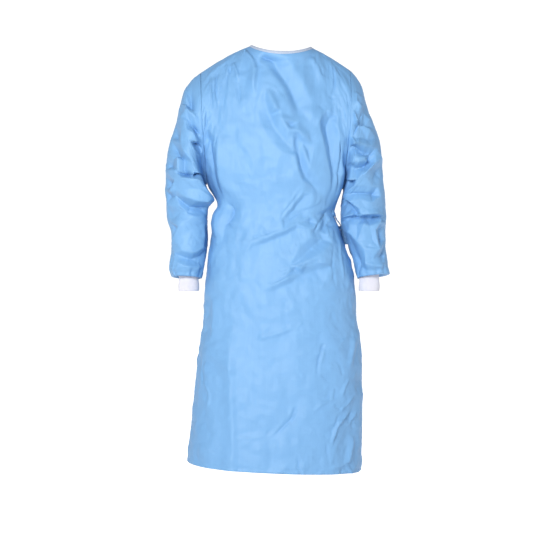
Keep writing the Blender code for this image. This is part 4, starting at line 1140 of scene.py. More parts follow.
RIGHT_RINGS = rings(
    (0.00, -233.3, -78, -213.8, -405, 90, 0, 0),
    (0.08, -262, -104, -221.6, -407.5, 94, 0, 0),
    (0.14, -279, -126, -220.8, -412, 94, 1, 1),
    (0.22, -293, -174, -215, -421, 92, 3, -8),
    (0.32, -308, -237, -206, -431, 88, 6, -34),
    (0.42, -328, -300, -193.5, -443, 84, 9, -48),
    (0.50, -333.5, -352, -191, -453, 81, 10, -48),
    (0.56, -336.2, -390, -201, -465, 79, 9, -42),
    (0.61, -337, -423, -210, -477, 77, 8, -32),
    (0.72, -331, -496, -212.5, -518, 72, 0, -12),
    (0.82, -318.5, -561, -212.5, -571, 66, -9, -9),
    (0.88, -318, -595, -215, -602, 61, -15, -15),
    (0.96, -323, -648, -224, -652, 55, -22, -22),
    (1.00, -317, -671, -229, -675, 52, -25, -25),
)
LEFT_RINGS = rings(
    (0.00, 204.7, -72, 180, -418, 90, 0, 0),
    (0.06, 222, -92, 182.2, -421, 93, 0, 0),
    (0.12, 238, -120, 182.4, -425.5, 94, 1, 1),
    (0.20, 252, -174, 181.5, -432, 92, 3, 3),
    (0.30, 274, -232, 180, -441, 88, 6, 6),
    (0.40, 291.5, -286, 178.8, -450, 84, 9, 9),
    (0.48, 296.5, -330, 177.8, -461, 81, 10, 10),
    (0.54, 298, -371, 176.8, -472, 79, 9, 9),
    (0.63, 304.5, -429, 175.2, -490, 76, 6, 6),
    (0.74, 308, -502, 175.5, -517, 71, -1, -1),
    (0.80, 306.5, -540, 186.5, -548, 67, -6, -6),
    (0.85, 305.5, -569, 195.5, -575, 63, -11, -11),
    (0.92, 308.5, -618, 210, -623, 58, -18, -18),
    (1.00, 316, -665, 222, -675, 52, -25, -25),
)
RIGHT_FACETS = (
    (-241, -88, 0), (-230, -135, 0), (-227, -198, -2), (-224, -233, -2), (-220, -299, 0), (-218, -337, 2),
    (-215, -371, 2), (-253, -112, -5), (-260, -143, -9), (-259, -175, -8), (-244, -194, -4),
    (-279, -140, 2), (-288, -175, 3), (-273, -185, 3), (-292, -201, 1), (-270, -117, 1), (-269, -198, 4),
    (-256, -208, 3), (-241, -218, 1), (-230, -241, -3), (-264, -218, -1), (-256, -241, -4), (-275, -233, 4),
    (-269, -256, 4), (-249, -262, 5), (-233, -283, 4), (-241, -256, -7), (-227, -273, -9), (-246, -295, -5),
    (-228, -306, -9), (-260, -286, 4), (-247, -306, 4.5), (-231, -321, 3), (-286, -221, 4), (-282, -259, 4),
    (-285, -296, 3), (-275, -319, 5), (-302, -259, -6), (-305, -299, -6), (-293, -322, -5), (-302, -227, 0),
    (-316, -273, -1), (-326, -310, 2), (-305, -335, 0), (-316, -351, -3), (-290, -338, 6), (-289, -374, 6),
    (-327, -369, 4), (-325, -337, 1), (-276, -337, -3), (-276, -368, -2), (-250, -345, 1), (-227, -342, 1),
    (-250, -374, 3), (-224, -376, 2), (-285, -391, 6), (-253, -393, 7), (-221, -390, 4), (-267, -383, -5),
    (-241, -383, -6), (-298, -399, 5), (-310, -430, 6), (-325, -469, 2), (-319, -403, -5), (-323, -438, -5),
    (-332, -383, 0), (-333, -423, 0), (-270, -426, 4), (-239, -420, 3), (-215, -414, 1), (-295, -427, 4),
    (-273, -445, 6), (-244, -455, 7), (-213, -455, 6), (-189, -440, 2), (-301, -440, 0), (-284, -456, -3),
    (-258, -474, -6), (-221, -478, -7), (-195, -465, -5), (-251, -500, 4), (-288, -472, 2), (-218, -495, 1),
    (-319, -484, -1), (-321, -515, -1), (-314, -556, -1), (-292, -488, -1.5), (-275, -515, 3),
    (-290, -527, 5), (-303, -559, 5), (-312, -582, 3), (-306, -533, -4), (-267, -492, 1), (-262, -541, 2),
    (-239, -524, 2), (-224, -552, 4), (-228, -590, 4), (-223, -521, 3), (-211, -556, -4), (-210, -588, -2),
    (-302, -585, 3), (-279, -599, 4), (-254, -604, 5), (-279, -618, -3), (-254, -624, -4), (-230, -612, -2),
    (-306, -605, 2), (-302, -628, 4), (-311, -657, 2), (-316, -628, -4), (-276, -645, 3), (-247, -648, 3),
    (-224, -642, 1), (-314, -674, 0), (-276, -676, 0), (-233, -671, 0),
)
LEFT_FACETS = (
    (203, -88, 0), (201, -135, 0), (199, -187, 0), (194, -244, 0), (191, -296, 0), (184, -360, 0),
    (213, -117, 3), (219, -149, 4), (217, -172, 5), (208, -204, 5), (199, -239, 3), (219, -117, -1),
    (229, -139, -3), (226, -172, -2), (218, -204, -3), (208, -236, -5), (200, -267, -3), (234, -155, 2),
    (232, -192, 4), (219, -233, 5), (206, -277, 4), (240, -172, -2), (240, -198, -2), (226, -236, -4),
    (212, -276, -3), (238, -239, 1), (248, -198, -2), (245, -233, -4), (243, -262, -2), (256, -221, 3),
    (256, -256, 3), (269, -244, 0), (278, -273, 0), (229, -273, -2), (249, -276, -2), (197, -289, 3),
    (217, -292, 6), (238, -302, 6), (258, -305, 5), (275, -305, 2), (193, -307, -5), (214, -306, -6),
    (225, -311, -6), (240, -320, -5), (258, -318, -3), (200, -322, 2), (220, -328, 3), (240, -331, 3),
    (197, -339, 3), (223, -343, 5), (246, -341, 4), (256, -319, -3), (253, -341, -4), (238, -357, -5),
    (212, -367, -5), (193, -370, -2), (269, -328, 3), (284, -337, 6), (268, -352, 7), (246, -373, 7),
    (220, -391, 6), (278, -365, -4), (268, -387, -1), (256, -390, 2), (289, -354, 0), (289, -389, 0),
    (189, -325, -6), (188, -348, -4), (193, -358, -2), (184, -381, 4), (201, -389, 5), (187, -396, -9),
    (201, -401, -7), (186, -424, 5), (214, -408, 5), (243, -390, 5), (223, -434, -1), (258, -435, -3),
    (261, -414, 2), (278, -414, 1), (269, -434, -5), (284, -443, 2), (185, -435, 5), (203, -451, 6),
    (224, -475, 6), (187, -461, -8), (201, -475, -7), (216, -487, -4), (229, -449, 3), (258, -461, 4),
    (246, -481, 4), (278, -475, 1), (298, -466, 0), (184, -500, 3), (182, -511, -3), (208, -505, -4),
    (233, -507, -5), (252, -505, -9), (274, -503, -7), (298, -509, -3), (206, -494, 2), (232, -495, 4),
    (255, -494, 6), (275, -492, 5), (295, -498, 2), (200, -524, 1), (220, -524, -1), (240, -521, 4),
    (255, -527, 2), (281, -517, 4), (301, -517, 2), (268, -539, 4), (287, -537, -4), (301, -530, -2),
    (272, -562, 4), (279, -593, 5), (282, -648, 4), (291, -567, -5), (295, -611, -4), (303, -567, 0),
    (304, -625, 0), (200, -544, 3), (223, -570, 4), (242, -595, 5), (246, -637, 4), (206, -582, -3),
    (220, -619, -4), (233, -651, -2), (263, -567, 1), (263, -622, 2), (220, -671, 0), (252, -661, 0),
    (289, -661, 0),
)
RIGHT_LINES = creases(
    ((-296, -377, -270, -381.5, -244, -384, -212, -383.5), -8.5, (7, 4), (0.15, 0.08)),
    ((-262, -230, -246, -250, -232, -282), -4, (6, 6), (0.4, 0.15)),
    ((-252, -288, -240, -302, -226, -312), -5, (6, 5), (0.4, 0.15)),
    ((-304, -462, -280, -483, -240, -494), -1.6, (6, 5)),
    ((-312, -430, -320, -460, -326, -486), 2, (5, 5)),
)
LEFT_LINES = creases(
    ((180, -507, 203, -501, 232, -502, 266, -497, 304, -505), -8, (6, 4), (0.15, 0.15)),
    ((186, -302, 212, -299, 224, -304, 244, -312, 262, -311), -4, (6, 5), (0.2, 0.3)),
    ((186, -430, 212, -433, 262, -433, 284, -432), -2.4, (5, 5)),
    ((186, -442, 206, -462, 232, -486), -4, (7, 4), (0.1, 0.3)),
    ((222, -82, 233, -134, 226, -160), -2, (4, 5)),
    ((236, -160, 236, -190, 220, -240, 200, -285), -2.6, (5, 4)),
    ((236, -580, 256, -587, 278, -592), -1.4, (5, 5)),
)


@dataclass
class Sleeve:
    """One sleeve as a single cut piece, its turned end and its knit cuff."""

    end: End
    rings: tuple
    cuff_centre: tuple
    seed: int
    facets: tuple
    lines: tuple
    around: int = 98
    along_steps: int = 222
    middle: float = -0.0115
    back_shift: float = 0.012
    twin: "Sleeve" = None
    cloth: float = 0.0006
    seam_gap: float = 0.00035
    elbow_round: float = 0.30
    mouth_tilt: float = 0.005
    armhole_bow: float = 0.0
    turns: tuple = ((0.10, -0.003), (0.32, -0.0035), (0.55, 0.001), (0.80, 0.004), (1.00, 0.008))
    cuff_half: tuple = (0.0290, 0.034)
    cuff_top: float = -0.664
    cuff_foot: float = -0.715
    knit: float = 0.0021
    ribs: int = 74
    rib_depth: float = 0.00042
    half_girth: float = 0.21
    length: float = 0.60
    facet_depth: float = 2.9
    facet_soften: float = 0.0008
    fade_top: tuple = (0.012, 0.10)
    fade_foot: float = 0.04
    fade_sides: float = 0.26
    seam: Seam = Seam(0.0004, 44)
    gather: float = 0.0016
    gathers: float = 5.5
    gather_from: float = 0.88

    def relief(self) -> Relief:
        """Return the facets and creases of the sleeve's front; the other sleeve's stand in for its back.

        Returns:
            The relief.
        """
        facets = Facets(self.facets, self.facet_depth, soften=self.facet_soften)
        crumples = (Crumple(self.seed + 1, 0.0014, (0.030, 0.075)),
                    Crumple(self.seed + 2, 0.0007, (0.016, 0.034)))
        nicks = Nicks(self.seed + 3, 60, (-0.21, -0.60), (0.21, 0.0), (0.015, 0.05), (0.0004, 0.0012))
        return Relief((facets,), self.lines, ((Waves(self.seed, 0.110), 0.0007),), crumples, (nicks,))

    def ring_column(self, name: str, along: np.ndarray) -> np.ndarray:
        """Return one named column of the rings, read along the sleeve."""
        keys = np.array([ring.along for ring in self.rings])
        return smooth_curve(keys, np.array([getattr(ring, name) for ring in self.rings]), along)

    def place(self, half: Side, t: np.ndarray, along: np.ndarray) -> tuple:
        """Return points of the plain sleeve and the ways out of it.

        Args:
            half: Front or back half of the sleeve.
            t: From the top line (0) to the underarm line (1).
            along: From the armhole (0) to the sleeve's end (1).

        Returns:
            The points and their outward directions.
        """
        ring = {name: self.ring_column(name, along) for name in
                ("outer_x", "outer_y", "outer_z", "inner_x", "inner_y", "inner_z", "half_depth")}
        outer = stack(ring["outer_x"], ring["outer_y"], ring["outer_z"])
        inner = stack(ring["inner_x"], ring["inner_y"], ring["inner_z"])
        roundness = ease(along / self.elbow_round)
        down = mix(t, (1 - np.cos(math.pi * t)) / 2, roundness)
        out = mix(np.sin(math.pi * t ** 0.8), np.sin(math.pi * t), roundness)
        place = outer + (inner - outer) * down[..., None]
        place[..., 1] += half.value * ring["half_depth"] * out
        place[..., 0] += self.end.outwards * self.armhole_bow * np.sin(math.pi * t) * (1 - roundness)
        return place, unit(place - (outer + inner) / 2)

    def cloth_at(self, half: Side, t: np.ndarray, along: np.ndarray) -> np.ndarray:
        """Return finished points of the sleeve's outer face.

        Args:
            half: Front or back half of the sleeve.
            t: From the top line (0) to the underarm line (1).
            along: Shares from the armhole to the sleeve's end.

        Returns:
            The points.
        """
        place, away = self.place(half, t, along)
        relief = self.relief()
        q, p = half.value * t * self.half_girth, -along * self.length
        meet = np.minimum(t, 1 - t)
        if half is Side.FRONT:
            placed = relief.placed(place[..., 0], place[..., 2])
        else:
            across = 2 * self.middle - place[..., 0]
            placed = self.twin.relief().placed(across, place[..., 2] + self.back_shift)
        placed *= ease((along - self.fade_top[0]) / self.fade_top[1]) * ease((1 - along) / self.fade_foot) \
            * ease(meet / self.fade_sides)
        scattered = relief.scattered(q, p) * ease((along - 0.01) / 0.05) * ease((1 - along) / 0.03)
        scattered *= ease((1 - t) / 0.07)
        to_seam = np.minimum(along * self.length, (1 - t) * self.half_girth)
        seam = self.seam.lift(to_seam, t * self.half_girth + p, q, p)
        wander = 1.3 * Waves(self.seed + 5, 0.05).at(q, p)
        gather = self.gather * np.cos(t * half.value * 2 * math.pi * self.gathers + wander)
        seam = seam + gather * ease((along - self.gather_from) / 0.10)
        finished = place + away * (placed + scattered + seam)[..., None]
        finished[..., 2] -= half.value * self.mouth_tilt * np.sin(math.pi * t) * ease((along - 0.9) / 0.1)
        return finished

    def cuff_ring(self, half: Side, t: np.ndarray, z: np.ndarray) -> np.ndarray:
        """Return points of the seam between the sleeve and its cuff."""
        x = self.cuff_centre[0] + self.end.outwards * self.cuff_half[0] * np.cos(math.pi * t)
        return stack(x, self.cuff_centre[1] + half.value * self.cuff_half[1] * np.sin(math.pi * t), z)

    def build(self) -> bpy.types.Object:
        """Build the sleeve, round from the underarm seam over the front and back to it.

        Returns:
            The sleeve.
        """
        even = np.linspace(0.0, 1.0, self.around + 1)
        round_trip = [(Side.FRONT, even[::-1]), (Side.BACK, even[1:])]
        along = np.maximum(np.linspace(0.0, 1.0, self.along_steps + 1), self.seam_gap / 2 / self.length)
        rows = []
        for half, t_row in round_trip:
            t, reach = np.meshgrid(t_row, along)
            points = self.cloth_at(half, t, reach)
            foot = points[-1]
            seam = self.cuff_ring(half, t_row, np.full_like(t_row, self.cuff_top + self.seam_gap))
            turned = []
            for inwards, rise in self.turns:
                ring = mix(foot, seam, inwards)
                ring[:, 2] = mix(foot[:, 2] + rise, seam[:, 2], inwards ** 3)
                turned.append(ring)
            rows.append(np.concatenate((points, np.array(turned))))
        points = np.concatenate(rows, axis=1)
        girth = np.concatenate((-even[::-1], even[1:])) * self.half_girth
        down = -np.concatenate((along, 1 + np.array([turn[0] for turn in self.turns]) * 0.04)) * self.length
        flat = np.stack(np.meshgrid(girth, down), axis=-1)
        return cloth_piece(f"gown_sleeve_{self.end.word}", points, flat, self.cloth,
                           flip=self.end is End.RIGHT, tube=True)

    def build_cuff(self) -> bpy.types.Object:
        """Build the ribbed cuff, doubled at its foot, as a wall of knit.

        Returns:
            The cuff.
        """
        steps = self.ribs * 6
        angle = np.linspace(0.0, 2 * math.pi, steps + 1)
        rib = np.cos(angle * self.ribs)
        profile = []
        for share in np.linspace(0.0, 1.0, 30):
            profile.append((0.0, mix(self.cuff_top, self.cuff_foot + self.knit * 0.5, share), 1.0))
        for turn in np.linspace(0.2, 1.0, 5)[:-1] * math.pi:
            profile.append((-self.knit / 2 * (1 - math.cos(turn)),
                            self.cuff_foot + self.knit * 0.5 * (1 - math.sin(turn)), 0.8))
        for share in np.linspace(0.0, 1.0, 12):
            profile.append((-self.knit, mix(self.cuff_foot + self.knit * 0.5, self.cuff_top, share), 0.4))
        profile.append(profile[0])
        rows = []
        for inwards, z, relief in profile:
            high = (z - self.cuff_foot) / (self.cuff_top - self.cuff_foot)
            slack = 0.0009 * math.sin(high * 7.0) + 0.0006 * np.sin(angle * 3 + high * 4)
            grow = inwards + relief * self.rib_depth * rib + slack
            rows.append(stack(self.cuff_centre[0] + (self.cuff_half[0] + grow) * np.cos(angle),
                              self.cuff_centre[1] + (self.cuff_half[1] + grow) * np.sin(angle), z))
        girth = angle * (sum(self.cuff_half) / 2)
        down = np.concatenate(([0.0], np.cumsum([math.hypot(b[0] - a[0], b[1] - a[1])
                                                 for a, b in zip(profile, profile[1:])])))
        flat = np.stack(np.meshgrid(girth, -down), axis=-1)
        return cloth_piece(f"gown_cuff_{self.end.word}", np.array(rows), flat, 0.0, flip=True, tube=True)


# ---------------------------------------------------------------- meshes
def mesh_of(name: str, shape: bmesh.types.BMesh) -> bpy.types.Mesh:
    """Return a shape as a mesh, and free it.

    Args:
        name: Name of the mesh.
        shape: The shape, which is freed.

    Returns:
        The mesh.
    """
    data = bpy.data.meshes.new(name)
    shape.to_mesh(data)
    shape.free()
    return data


def placed_object(name: str, data: bpy.types.ID) -> bpy.types.Object:
    """Return a new object of the scene that shows some data.

    Args:
        name: Name of the object.
        data: Mesh, light or camera.

    Returns:
        The object.
    """
    made = bpy.data.objects.new(name, data)
    bpy.context.scene.collection.objects.link(made)
    return made


def cloth_piece(name: str, points: np.ndarray, flat: np.ndarray, wall: float,
                flip: bool = False, tube: bool = False, capped: bool = False) -> bpy.types.Object:
    """Lay a fine grid on a piece's points and give it a thin wall on its inner side.

    Args:
        name: Name of the piece.
        points: Rows by columns of points on its outer face.
        flat: The same places on the flat cloth, in metres, for its UV map.
        wall: Thickness of the cloth, or 0 where the points are already a closed wall.
        flip: Turn the faces round.
        tube: Sew the first and the last column together.
        capped: Close the two ends of a tube.

    Returns:
        The new object.
    """
    rows, columns = points.shape[:2]
    grid = bmesh.new()
    bmesh.ops.create_grid(grid, x_segments=columns - 1, y_segments=rows - 1, size=0.5)
    data = mesh_of(name, grid)
    places = np.empty(len(data.vertices) * 3)
    data.vertices.foreach_get("co", places)
    places = places.reshape(-1, 3) + 0.5
    column = np.rint(places[:, 0] * (columns - 1)).astype(int)
    row = rows - 1 - np.rint(places[:, 1] * (rows - 1)).astype(int)
    data.vertices.foreach_set("co", points[row, column].astype(np.float32).ravel())
    corner = np.empty(len(data.loops), dtype=np.int32)
    data.loops.foreach_get("vertex_index", corner)
    layer = data.uv_layers.new(name="flat_cloth")
    layer.data.foreach_set("uv", flat[row[corner], column[corner]].astype(np.float32).ravel())
    sewn = bmesh.new()
    sewn.from_mesh(data)
    if tube:
        bmesh.ops.remove_doubles(sewn, verts=sewn.verts[:], dist=1e-6)
    if capped:
        bmesh.ops.holes_fill(sewn, edges=[edge for edge in sewn.edges if edge.is_boundary])
    if tube and wall == 0:
        bmesh.ops.recalc_face_normals(sewn, faces=sewn.faces[:])
    if flip:
        bmesh.ops.reverse_faces(sewn, faces=sewn.faces[:])
    sewn.to_mesh(data)
    sewn.free()
    data.shade_smooth()
    made = placed_object(name, data)
    if wall > 0:
        solidify = made.modifiers.new("wall", "SOLIDIFY")
        solidify.thickness = wall
        solidify.offset = -1.0
    return made


def show(piece: bpy.types.Object, finish: bpy.types.Material, slot: str, *nodes: str) -> None:
    """Dress a piece, ride it on the gown and hide the solids that it stands for.

    Args:
        piece: The piece.
        finish: Its material.
        slot: Name of its material slot; not used.
        *nodes: Nodes of the solids that it stands for, if any.
    """
    piece.data.materials.clear()
    piece.data.materials.append(finish)
    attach(piece, ROOT)
    if nodes:
        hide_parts(*nodes)
    LOG.info("%s: %d faces", piece.name, len(piece.data.polygons))


# ---------------------------------------------------------------- trims
class LaidSurface:
    """The finished outer faces of some panels, to lay strips and stitches on."""

    def __init__(self, *pieces: bpy.types.Object) -> None:
        """Gather the faces of the panels.

        Args:
            *pieces: The panels.
        """
        points, faces = [], []
        for piece in pieces:
            start = len(points)
            points.extend(vert.co.copy() for vert in piece.data.vertices)
            faces.extend([start + corner for corner in face.vertices] for face in piece.data.polygons)
        self.tree = BVHTree.FromPolygons(points, faces)

    def nearest(self, places: np.ndarray) -> np.ndarray:
        """Return the points of the cloth that lie nearest to some places.

        Args:
            places: Points to look from.

        Returns:
            The points.
        """
        flat = places.reshape(-1, 3)
        found = [self.tree.find_nearest(Vector(place))[0] for place in flat]
        return np.array(found).reshape(places.shape)

    def rise(self, places: np.ndarray, normals: np.ndarray, look: float = 0.03) -> np.ndarray:
        """Return how high the cloth stands over some places, seen from outside along their normals.

        Args:
            places: Points to look from.
            normals: Outward normals there.
            look: How far outside to look from.

        Returns:
            The heights.
        """
        heights = np.zeros(places.shape[:-1])
        for index in np.ndindex(heights.shape):
            start = Vector(places[index] + normals[index] * look)
            hit, _, _, distance = self.tree.ray_cast(start, Vector(-normals[index]), look * 2)
            heights[index] = look - distance if hit is not None else 0.0
        return heights


def smoothed(values: np.ndarray, reach: int) -> np.ndarray:
    """Return rows of values, averaged with their neighbours up to a reach away.

    Args:
        values: Rows of values.
        reach: Rows to average on each side.

    Returns:
        The averaged rows.
    """
    weights = np.hanning(2 * reach + 3)[1:-1]
    padded = np.pad(values, ((reach, reach),) + ((0, 0),) * (values.ndim - 1), mode="edge")
    total = sum(weight * padded[step:step + len(values)] for step, weight in enumerate(weights))
    return total / weights.sum()


def frames(route: np.ndarray, faces_to: np.ndarray) -> tuple:
    """Return the ways along, across and up from a strip at each point of its route.

    Args:
        route: Points of the strip's middle.
        faces_to: Ways that the strip faces.

    Returns:
        The ways along, across and up, at length 1.
    """
    run = unit(np.gradient(route, axis=0))
    across = unit(np.cross(run, faces_to))
    return run, across, np.cross(across, run)


@dataclass
class Ribbon:
    """A narrow strip of cloth, folded lengthwise and crumpled, along a route."""

    name: str
    route: np.ndarray
    faces_to: np.ndarray
    widths: np.ndarray
    seed: int
    cloth: float = 0.0009
    pleat: float = 0.0007
    cup: float = 0.0010
    steps: int = 14

    def build(self) -> bpy.types.Object:
        """Build the strip.

        Returns:
            The strip.
        """
        _, across, up = frames(self.route, self.faces_to)
        share = np.linspace(-0.5, 0.5, self.steps + 1)
        walked = walked_along(self.route)
        q = share[None, :] * self.widths[:, None]
        p = np.broadcast_to(walked[:, None], q.shape)
        wander = Waves(self.seed, 0.050).at(q, p)
        fold = np.cos(share[None, :] * math.pi * 5 + 1.4 * wander) * self.pleat
        crumple = Crumple(self.seed + 1, 0.0010, (0.010, 0.022), 5).at(q, p)
        height = fold + crumple - self.cup * (2 * share[None, :]) ** 2 * (1 + 0.5 * wander)
        edge = 1 + 0.05 * Waves(self.seed + 2, 0.020).at(q, p)
        points = (self.route[:, None] + across[:, None] * (q * edge)[..., None]
                  + up[:, None] * height[..., None])
        return cloth_piece(self.name, points, np.stack([q, -p], axis=-1), self.cloth)

    @property
    def length(self) -> float:
        """Length of the strip."""
        return float(walked_along(self.route)[-1])


@dataclass
class Stitching:
    """A row of small stitches along a route."""

    name: str
    pitch: float = 0.0032
    length: float = 0.0024
    thick: float = 0.00042
    look: float = 0.001

    def build(self, *routes: tuple) -> bpy.types.Object:
        """Build the stitches of one or more routes, each given by its points and normals.

        Args:
            *routes: Points and normals of each row of stitches.

        Returns:
            The stitches as one piece.
        """
        rows = bmesh.new()
        for route, normals in routes:
            walked = walked_along(route)

            def read(values: np.ndarray, places: np.ndarray) -> np.ndarray:
                """Return values of the route at places along it."""
                return np.stack([np.interp(places, walked, values[:, axis]) for axis in range(3)], axis=-1)

            count = max(int(walked[-1] / self.pitch), 1)
            at = (np.arange(count) + 0.5) * walked[-1] / count
            ahead = read(route, at + self.look) - read(route, at - self.look)
            for place, out, run in zip(read(route, at), unit(read(normals, at)), unit(ahead)):
                side = Vector(np.cross(out, run)).normalized()
                turn = Matrix((side, Vector(out), Vector(run))).transposed().to_4x4()
                size = Matrix.Diagonal((self.thick, self.thick * 0.7, self.length / 2, 1.0))
                bmesh.ops.create_uvsphere(rows, u_segments=6, v_segments=4, radius=1.0,
                                          matrix=Matrix.Translation(place) @ turn @ size)
        data = mesh_of(self.name, rows)
        data.shade_smooth()
        return placed_object(self.name, data)


@dataclass
class NeckBinding:
    """The strip that is folded over the neck edge, with a leaf on each side of the cloth."""

    body: GownBody
    front: bpy.types.Object
    outer: bpy.types.Object
    inner: bpy.types.Object
    drop: float = 0.0086
    stitch_at: float = 0.0068
    cloth: float = 0.0008
    gap: float = 0.0003
    column: int = 9

    def route(self) -> tuple:
        """Return points on the neck edge, the normals there and the number of the middle point in front.

        Returns:
            The points, the normals and the number.
        """
        share = self.body.form.shoulder_share
        runs = ((Side.BACK, self.body.inner_reach[0], 1 - share, True), (Side.FRONT, 1 - share, share, False),
                (Side.BACK, share, self.body.outer_reach[0], False))
        points, normals = [], []
        for number, (side, start, end, inner) in enumerate(runs):
            count = int(round(abs(end - start) * self.body.steps * self.column))
            s = np.linspace(start, end, count + 1)[1 if number else 0:]
            place, _ = self.body.cloth_at(side, s, np.full_like(s, 0.003), inner)
            points.append(place)
            normals.append(self.body.form.normal(side, s, np.full_like(s, 0.02)))
        middle = len(points[0]) + len(points[1]) // 2
        return smoothed(np.concatenate(points), 3), unit(smoothed(np.concatenate(normals), 7)), middle

    def build(self) -> tuple:
        """Build the binding and return it with the route and normals of its stitches.

        Returns:
            The binding, its stitches' route and normals, and its length.
        """
        edge, normal, middle = self.route()
        run, away, _ = frames(edge, normal)
        away = away * np.sign((away[0] * (edge[0] - np.array((0.0, 0.0, edge[0][2])))).sum())
        depths = np.linspace(0.0, self.drop, 7)
        wanted = edge[:, None] + away[:, None] * depths[None, :, None]
        laid = np.concatenate((LaidSurface(self.front, self.inner).nearest(wanted[:middle]),
                               LaidSurface(self.front, self.outer).nearest(wanted[middle:])))
        laid = smoothed(laid, 3)
        laid[:, 0] = edge
        out = unit(np.cross(np.gradient(laid, axis=0), np.gradient(laid, axis=1)))
        out *= np.sign((out * normal[:, None]).sum(-1, keepdims=True))
        out = unit(smoothed(out, 6))
        walked = walked_along(edge)
        puff = 0.00022 * np.cos(walked * 2 * math.pi / 0.0105 + 2 * Waves(91, 0.06).at(walked, walked * 0))

        def at(depth: float, stand: float) -> np.ndarray:
            """Return the strip's points at a depth below the neck edge and a distance out from the cloth.

            Args:
                depth: Depth below the neck edge.
                stand: Distance out from the cloth.

            Returns:
                The points.
            """
            if depth <= 0:
                return edge + away * depth + normal * stand
            place = np.clip(depth / self.drop * 6, 0, 6)
            low = min(int(place), 5)
            spot = mix(laid[:, low], laid[:, low + 1], place - low)
            return spot + unit(mix(out[:, low], out[:, low + 1], place - low)) * stand

        top, wall, inside = self.gap + self.cloth, self.body.cloth, self.body.cloth + self.gap
        middle_out, radius = -wall / 2, self.gap + self.cloth + wall / 2
        loop = []
        for depth in np.linspace(self.drop - 0.0004, 0.0006, 12):
            swell = 0.00025 * math.sin(math.pi * min(depth / self.stitch_at, 1.0)) + (
                -0.00030 * math.exp(-((depth - self.stitch_at) / 0.0007) ** 2))
            loop.append(at(depth, top + swell) + out[:, 3] * (puff * min(1.0, depth / 0.004))[:, None])
        for turn in np.linspace(0.0, math.pi, 9)[1:-1]:
            loop.append(at(-radius * 0.8 * math.sin(turn), middle_out + radius * math.cos(turn)))
        for depth in np.linspace(0.0006, self.drop - 0.0004, 8):
            loop.append(at(depth, -inside - self.cloth))
        loop.append(at(self.drop, -inside - self.cloth / 2))
        for depth in np.linspace(self.drop - 0.0004, 0.0008, 5):
            loop.append(at(depth, -inside))
        loop.append(at(0.0, middle_out))
        for depth in np.linspace(0.0008, self.drop - 0.0004, 5):
            loop.append(at(depth, self.gap))
        loop.append(at(self.drop, self.gap + self.cloth / 2))
        loop.append(loop[0])
        points = np.stack(loop, axis=1)
        girth = walked_along(points[40])
        flat = np.stack(np.meshgrid(girth, walked), axis=-1)
        strip = cloth_piece("gown_neck_binding", points, flat, 0.0, tube=True, capped=True)
        return strip, (at(self.stitch_at, top - 0.0001)[3:-3], out[3:-3, 5]), float(walked[-1])


@dataclass
class NeckTab:
    """The closing tab that lies over the outer flap's edge at the neck."""

    body: GownBody
    surface: LaidSurface
    length: float = 0.058
    width: float = 0.024
    row: float = 0.115
    under: float = 0.45
    corner: float = 0.005
    cloth: float = 0.0012

    def build(self) -> tuple:
        """Build the tab and return it with the routes of its stitches.

        Returns:
            The tab and its stitches' routes, each with its normals.
        """
        reach = float(self.body.reach(self.body.outer_reach, np.array([self.row]))[0])
        form = self.body.form
        look = 0.01
        first = form.place(Side.BACK, np.array([reach]), np.array([self.row]))[0]
        along = form.place(Side.BACK, np.array([reach + look]), np.array([self.row]))[0]
        below = form.place(Side.BACK, np.array([reach]), np.array([self.row + look]))[0]
        per_s, per_v = look / np.linalg.norm(along - first), look / np.linalg.norm(below - first)
        a, b = np.meshgrid(np.linspace(-0.5, 0.5, 59), np.linspace(-0.5, 0.5, 25), indexing="ij")
        x = a * self.length
        over = np.clip(np.abs(x) - (self.length / 2 - self.corner), 0.0, self.corner)
        half = self.width / 2 - self.corner + np.sqrt(self.corner ** 2 - over ** 2 + 1e-12)
        y = b * 2 * half
        s = reach + (x + self.length * (0.5 - self.under)) * per_s
        v = self.row + y * per_v
        place, normal = form.place(Side.BACK, s, v), form.normal(Side.BACK, s, v)
        height = smoothed(self.surface.rise(place, normal), 6)
        height = np.maximum(height, self.surface.rise(place, normal) * 0.6 + height * 0.4)
        height = height + 0.0005 + self.cloth
        height = height + 0.0006 * ease((np.abs(x) - self.length * 0.38) / 0.010) * (x > 0)
        height = height - 0.0003 * bell(half - np.abs(y) - 0.0028, 0.0012)
        points = place + normal * height[..., None]
        tab = cloth_piece("gown_neck_tab", points, np.stack([y, x], axis=-1), self.cloth, flip=True)
        routes = []
        for column in (2, 22):
            routes.append((points[5:-5, column] + normal[5:-5, column] * 0.0001, normal[5:-5, column]))
        for row in (5, 26, 32, 53):
            routes.append((points[row, 2:23] + normal[row, 2:23] * 0.0001, normal[row, 2:23]))
        return tab, routes


@dataclass(frozen=True)
class Bow:
    """One hanging loop of the waist tie."""

    name: str
    root_y: float
    root_z: float
    lean_x: float
    lean_y: float
    length: float


@dataclass(frozen=True)
class TieEnd:
    """One free end of the waist tie."""

    name: str
    leaves_up: float
    lean_x: float
    lean_y: float
    length: float


